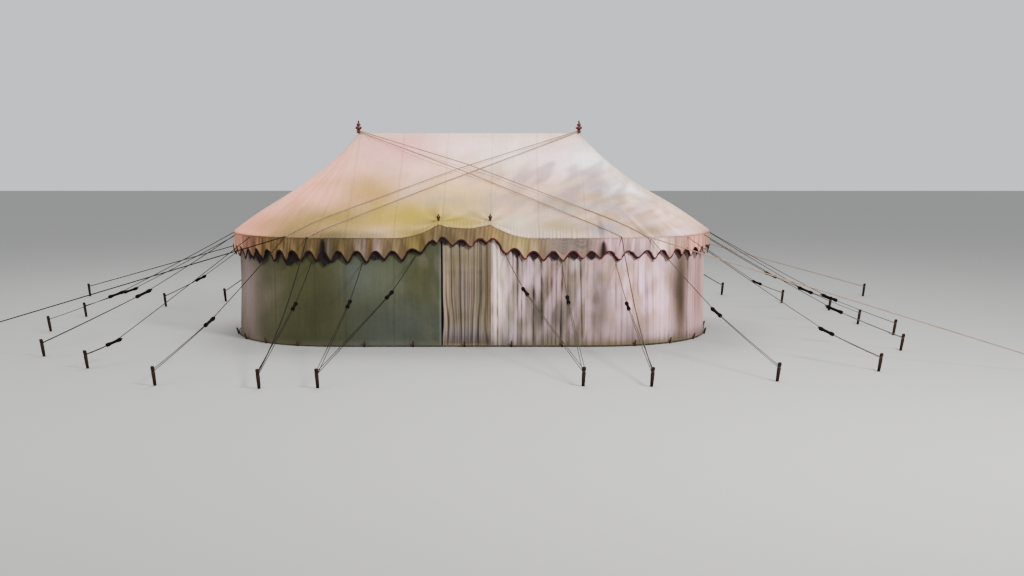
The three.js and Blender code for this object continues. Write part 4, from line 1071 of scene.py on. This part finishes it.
# A guy from its place on the tent to its stake: rope, slider, the loop's two strands and the knots
def guyGrids(spot, out, neck, share):
    middle = spot + (neck - spot) * share
    middle[2] -= rope["sag"]
    way = (middle - spot) / np.linalg.norm(middle - spot)
    top = spot + out * (rope["guyR"] * math.sqrt(1 - float(way @ out) ** 2) + rope["offFace"])
    along = (neck - middle) / np.linalg.norm(neck - middle)
    aside = np.array([-along[1], along[0], 0])
    aside *= rope["loopHalf"] / np.linalg.norm(aside)
    t = np.linspace(0, 1, rope["samples"])[:, None]
    slack = np.array([0, 0, rope["slack"]]) * t * (1 - t)
    ropes = [(*ropeGrid(top + (middle - top) * t - slack, rope["guyR"]), 0)]
    for side in (-1, 1):
        start, end = middle + aside * side * 0.4, neck + aside * side
        ropes.append((*ropeGrid(start + (end - start) * t - slack * 0.6, rope["strandR"]), 0))
    knot = [middle - along * (slider["half"] + reach) for reach in rope["knot"]]
    ropes.append((*ropeGrid(knot, rope["knotR"], 10), 0))
    toggle = {"profile": slider["profile"], "sides": slider["sides"], "number": 1,
              "foot": middle - along * slider["half"], "axis": along}
    return ropes, [toggle]


# Where a line crosses another in plan, as a share of its length
def crossing(one, other):
    d1, d2, gap = one[1] - one[0], other[1] - other[0], other[0] - one[0]
    turn = d1[0] * d2[1] - d1[1] * d2[0]
    t = (gap[0] * d2[1] - gap[1] * d2[0]) / turn
    u = (gap[0] * d1[1] - gap[1] * d1[0]) / turn
    return t if 0 < t < 1 and 0 < u < 1 else None


# A storm rope's path over the canvas: it touches only the high places, and passes over the ropes under it.
def tautLine(start, end, kind):
    start = start + (end - start) * (storm["neckGap"] / np.hypot(*(end - start)))
    shares = list(np.linspace(0, 1, storm["samples"] + 1))
    over = {}
    for line, path in laid:
        t = crossing((start, end), line)
        if t is not None:
            run = np.hypot(*(path[:, :2] - path[0, :2]).T)
            spot = start + (end - start) * t
            height = np.interp(np.hypot(*(spot - path[0, :2])), run, path[:, 2])
            over[t] = height + 2 * rope["stormR"] + storm["crossGap"]
            shares.append(t)
    shares = np.array(sorted(shares))
    plan = start + (end - start) * shares[:, None]
    z = np.maximum(roofHeight(*plan.T) + storm["lift"], [over.get(t, 0) for t in shares])
    z[0] = ridgeZ + storm["start"][kind]
    z[-1] = roofHeight(*end) + storm["edge"][kind]
    taut = []
    for p in np.concatenate([plan, z[:, None]], 1):
        while len(taut) > 1:
            a, b = taut[-2], taut[-1]
            share = np.hypot(*(b - a)[:2]) / np.hypot(*(p - a)[:2])
            if b[2] - a[2] > (p[2] - a[2]) * share + storm["slack"]:
                break
            taut.pop()
        taut.append(p)
    laid.append(((start, end), np.array(taut)))
    return np.array(taut)


def eaveY(x):
    return halfWidth * (1 - alongShare(x) ** power) ** (1 / power)


# Way out from the eave at a place on it
def rimOut(x, y):
    out = np.array([math.copysign(alongShare(x) ** (power - 1) / reachAt(x), x),
                    math.copysign((abs(y) / halfWidth) ** (power - 1) / halfWidth, y), 0])
    return out / np.linalg.norm(out)


# A place on the outer face of the wall, behind the valance, and the way that it faces
def wallHold(x, back, z):
    y = back * eaveY(x)
    return np.array([*wallPoint(x, y), z]), rimOut(x, y)


# A place on the valance's outer face at an end, by its angle round the pole
def eaveHold(side, angle):
    x, y = eaveCurve(side, math.radians(angle))
    out = rimOut(x, y)
    return np.array([x, y, tent["eaveZ"] - hold["down"]]) + out * hold["off"], out


# Each node with its stake's place, its holds on the wall (x, height, slider share) and the side of the pole
# that its storm rope comes from, or 0 without one
frontGuys = [
    ("guy_front_left_door", (-1.56, -5.33), [(-0.657, 1.246, 0.305), (-1.383, 1.142, 0.34)], 0),
    ("guy_front_left_corner", (-2.22, -5.36), [(-2.083, 1.149, 0.365)], 1),
    ("guy_front_right_door", (1.46, -5.20), [(0.55, 1.271, 0.29), (1.316, 1.176, 0.32)], 0),
    ("guy_front_right_corner", (2.24, -5.23), [(2.063, 1.136, 0.36)], -1),
    ("guy_back_left_inner", (-1.56, 5.33), [(-0.657, 1.15, 0.305), (-1.383, 1.142, 0.34)], 0),
    ("guy_back_left_corner", (-2.22, 5.36), [(-2.083, 1.149, 0.365)], 1),
    ("guy_back_right_inner", (1.46, 5.20), [(0.55, 1.15, 0.29), (1.316, 1.15, 0.32)], 0),
    ("guy_back_right_corner", (2.24, 5.23), [(2.063, 1.136, 0.36)], -1),
]
# Each end guy's stake place, its angle in degrees along the eave, and its slider share
endGuys = {
    "right": [(3.74, -4.88, -65.5, 0.55), (5.11, -4.16, -44, 0.745), (5.85, -2.43, -27, 0.67),
              (6.16, -0.90, -10, 0.65), (5.94, 0.31, 5, 0.65), (5.90, 2.11, 24, 0.565),
              (5.32, 3.20, 38, 0.75), (4.47, 4.48, 56, 0.6)],
    "left": [(-3.45, -5.16, -66, 0.61), (-4.59, -3.93, -44, 0.845), (-5.45, -2.95, -25, 0.5),
             (-6.16, -0.50, -6, 0.64), (-6.16, 1.25, 14, 0.715), (-5.23, 2.66, 34, 0.65),
             (-4.37, 3.43, 52, 0.6)],
}


# The ropes and the wood that take one node's place
def ropePieces(node, ropes, woods):
    first, *words = node.split("_")
    name = first + "".join(word.capitalize() for word in words)
    # Ropes on the left take a darker copy of the hemp: painted shade.
    guy = looks["darkGuy" if "left" in node else "guy"]
    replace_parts(gridsPiece(name, ropes, [guy, looks["stormRope"]]), node)
    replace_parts(turnedPiece(name + "Wood", woods, [looks["stake"], looks["slider"]]), node)


# A storm rope: pale over the canvas, as painted light; in the guys' darker hemp where it runs free, as
# painted shade; and pale again on the long right ones, painted light
def stormGrids(poleSide, kind, x, back, neck):
    path = tautLine(np.array([poleSide * poleX, 0.0]), np.array([x, back * eaveY(x)]), kind)
    edge = path[-1]
    t = np.linspace(0, 1, rope["samples"] + 1)[1:, None]
    free = edge + (neck - edge) * t
    free[:, 2] -= storm["sag"][kind] * (4 * t * (1 - t))[:, 0]
    lit = 1 if kind == "far" and x > 0 else 0
    return [(*ropeGrid(run, rope["stormR"], storm["sides"]), number)
            for run, number in ((path, 1), (np.vstack([edge, free]), lit))]


seed = 300
for node, foot, holds, pole in frontGuys:
    back = math.copysign(1, foot[1])
    neck, ropes, woods = stakeSet(foot, seed)
    for x, z, share in holds:
        more, toggle = guyGrids(*wallHold(x, back, z), neck, share)
        ropes, woods = ropes + more, woods + toggle
    if pole:
        ropes += stormGrids(pole, "corner", -pole * storm["cornerEaveX"], back, neck)
    ropePieces(node, ropes, woods)
    seed += 1
for sideName, side in (("right", 1), ("left", -1)):
    for k, (x, y, angle, share) in enumerate(endGuys[sideName]):
        neck, ropes, woods = stakeSet((x, y), seed)
        more, toggle = guyGrids(*eaveHold(side, angle), neck, share)
        ropePieces(f"guy_{sideName}_end_{k + 1}", ropes + more, woods + toggle)
        seed += 1
for name, pole in (("left", 1), ("right", -1)):
    for sideName, back in (("front", -1), ("back", 1)):
        neck, ropes, woods = stakeSet((-pole * storm["stake"][0], back * storm["stake"][1]), seed)
        ropes += stormGrids(pole, "far", storm["eaveX"][name], back, neck)
        ropePieces(f"storm_rope_{sideName}_{name}", ropes, woods)
        seed += 1
print("guys made")

# Foot rope and pegs round the walls

footRope = {"radius": 0.007, "lift": 0.019, "out": 0.0075, "samples": 260}
peg = {
    "out": 0.0155, "tipOut": 0.0143, "lean": 0.3, "sides": 12, "uneven": 0.06,
    "frontX": (-1.36, -0.70, 0.0, 0.64, 1.33), "angles": (0, 18, 36, 54, 72),
    "profile": [(0.0, 0.0), (0.0135, 0.0), (0.0135, 0.07), (0.0115, 0.082), (0.007, 0.0935), (0.0, 0.095)],
}


def footHalf(name, node, start, end, back, seed):
    part = wallPlan(start, end, footRope["samples"])
    line = standing(part, footRope["out"] + 0 * part["x"], footRope["lift"])
    spots = [(x, back * (halfWidth - wallSet["sideIn"] + peg["out"])) for x in peg["frontX"]]
    for side in (-1, 1):
        for angle in peg["angles"]:
            x, y = eaveCurve(side, math.radians(angle))
            out = rimOut(x, back * max(1e-6, y))
            x, y = wallPoint(x, back * y)
            x, y = x + out[0] * peg["out"], y + out[1] * peg["out"]
            spots.append((x, y if abs(y) > peg["out"] else back * peg["tipOut"]))
    woods = []
    for k, (x, y) in enumerate(spots):
        away = np.array([x - math.copysign(min(abs(x), poleX), x), y])
        away *= peg["lean"] / np.hypot(*away)
        woods.append({"profile": peg["profile"], "sides": peg["sides"], "foot": (x, y, 0), "away": away,
                      "uneven": peg["uneven"], "seed": seed + k})
    grids = [(*ropeGrid(line, footRope["radius"]), 0)]
    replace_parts(gridsPiece(name, grids, [looks["guy"]]), node)
    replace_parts(turnedPiece(name + "Pegs", woods, [looks["peg"]]), node)


footHalf("footRopeFront", "foot_rope_front", leftTip, rightTip, -1, 500)
footHalf("footRopeBack", "foot_rope_back", rightTip, leftTip + eaveLength, 1, 540)
print("foot rope made")

# Poles keep their solids and get their wood.

for node in ("ridge_pole", "main_pole_left", "main_pole_right", "door_pole_left", "door_pole_right"):
    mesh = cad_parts[node].data
    mesh.materials.clear()
    mesh.materials.append(looks["pole"])
    if not mesh.uv_layers:
        corner = np.zeros(len(mesh.loops), int)
        mesh.loops.foreach_get("vertex_index", corner)
        uv = np.array([v.co for v in mesh.vertices])[:, [1, 0 if node == "ridge_pole" else 2]]
        mesh.uv_layers.new(name="cloth").data.foreach_set("uv", uv[corner].astype(np.float32).ravel())

# Floor and soft studio light

stage = {"half": 60.0, "z": -0.002, "tone": tone(150, 149, 146), "roughness": 0.8}
studio = {"tone": tone(236, 238, 242), "strength": 1.02}
lights = {
    "key": {"place": (7.5, -12.0, 9.5), "aim": (0.3, -0.5, 1.4), "size": 2.6, "power": 3950},
    "fill": {"place": (-9.0, -10.0, 6.0), "aim": (0, 0, 1.2), "size": 7.0, "power": 690},
    "top": {"place": (-1.0, 5.0, 11.0), "aim": (0, 0, 2.0), "size": 7.0, "power": 1480},
}
floorMesh = bpy.data.meshes.new("floor")
work = bmesh.new()
bmesh.ops.create_grid(work, x_segments=1, y_segments=1, size=stage["half"])
bmesh.ops.translate(work, verts=work.verts, vec=(0, 0, stage["z"]))
work.to_mesh(floorMesh)
work.free()
floorMaterial, _, floorShader = newMaterial("floor", stage["roughness"])
floorShader.inputs["Base Color"].default_value = pigment(stage["tone"])
floorMesh.materials.append(floorMaterial)
linkObject("floor", floorMesh)

world = bpy.data.worlds.new("studio")
world.use_nodes = True
world.node_tree.nodes["Background"].inputs[0].default_value = pigment(studio["tone"])
world.node_tree.nodes["Background"].inputs[1].default_value = studio["strength"]
bpy.context.scene.world = world
for name, one in lights.items():
    data = bpy.data.lights.new(name, "AREA")
    data.size, data.energy = one["size"], one["power"]
    lamp = linkObject(name, data)
    lamp.location = one["place"]
    lamp.rotation_euler = (Vector(one["aim"]) - Vector(one["place"])).to_track_quat("-Z", "Y").to_euler()
print("stage made")
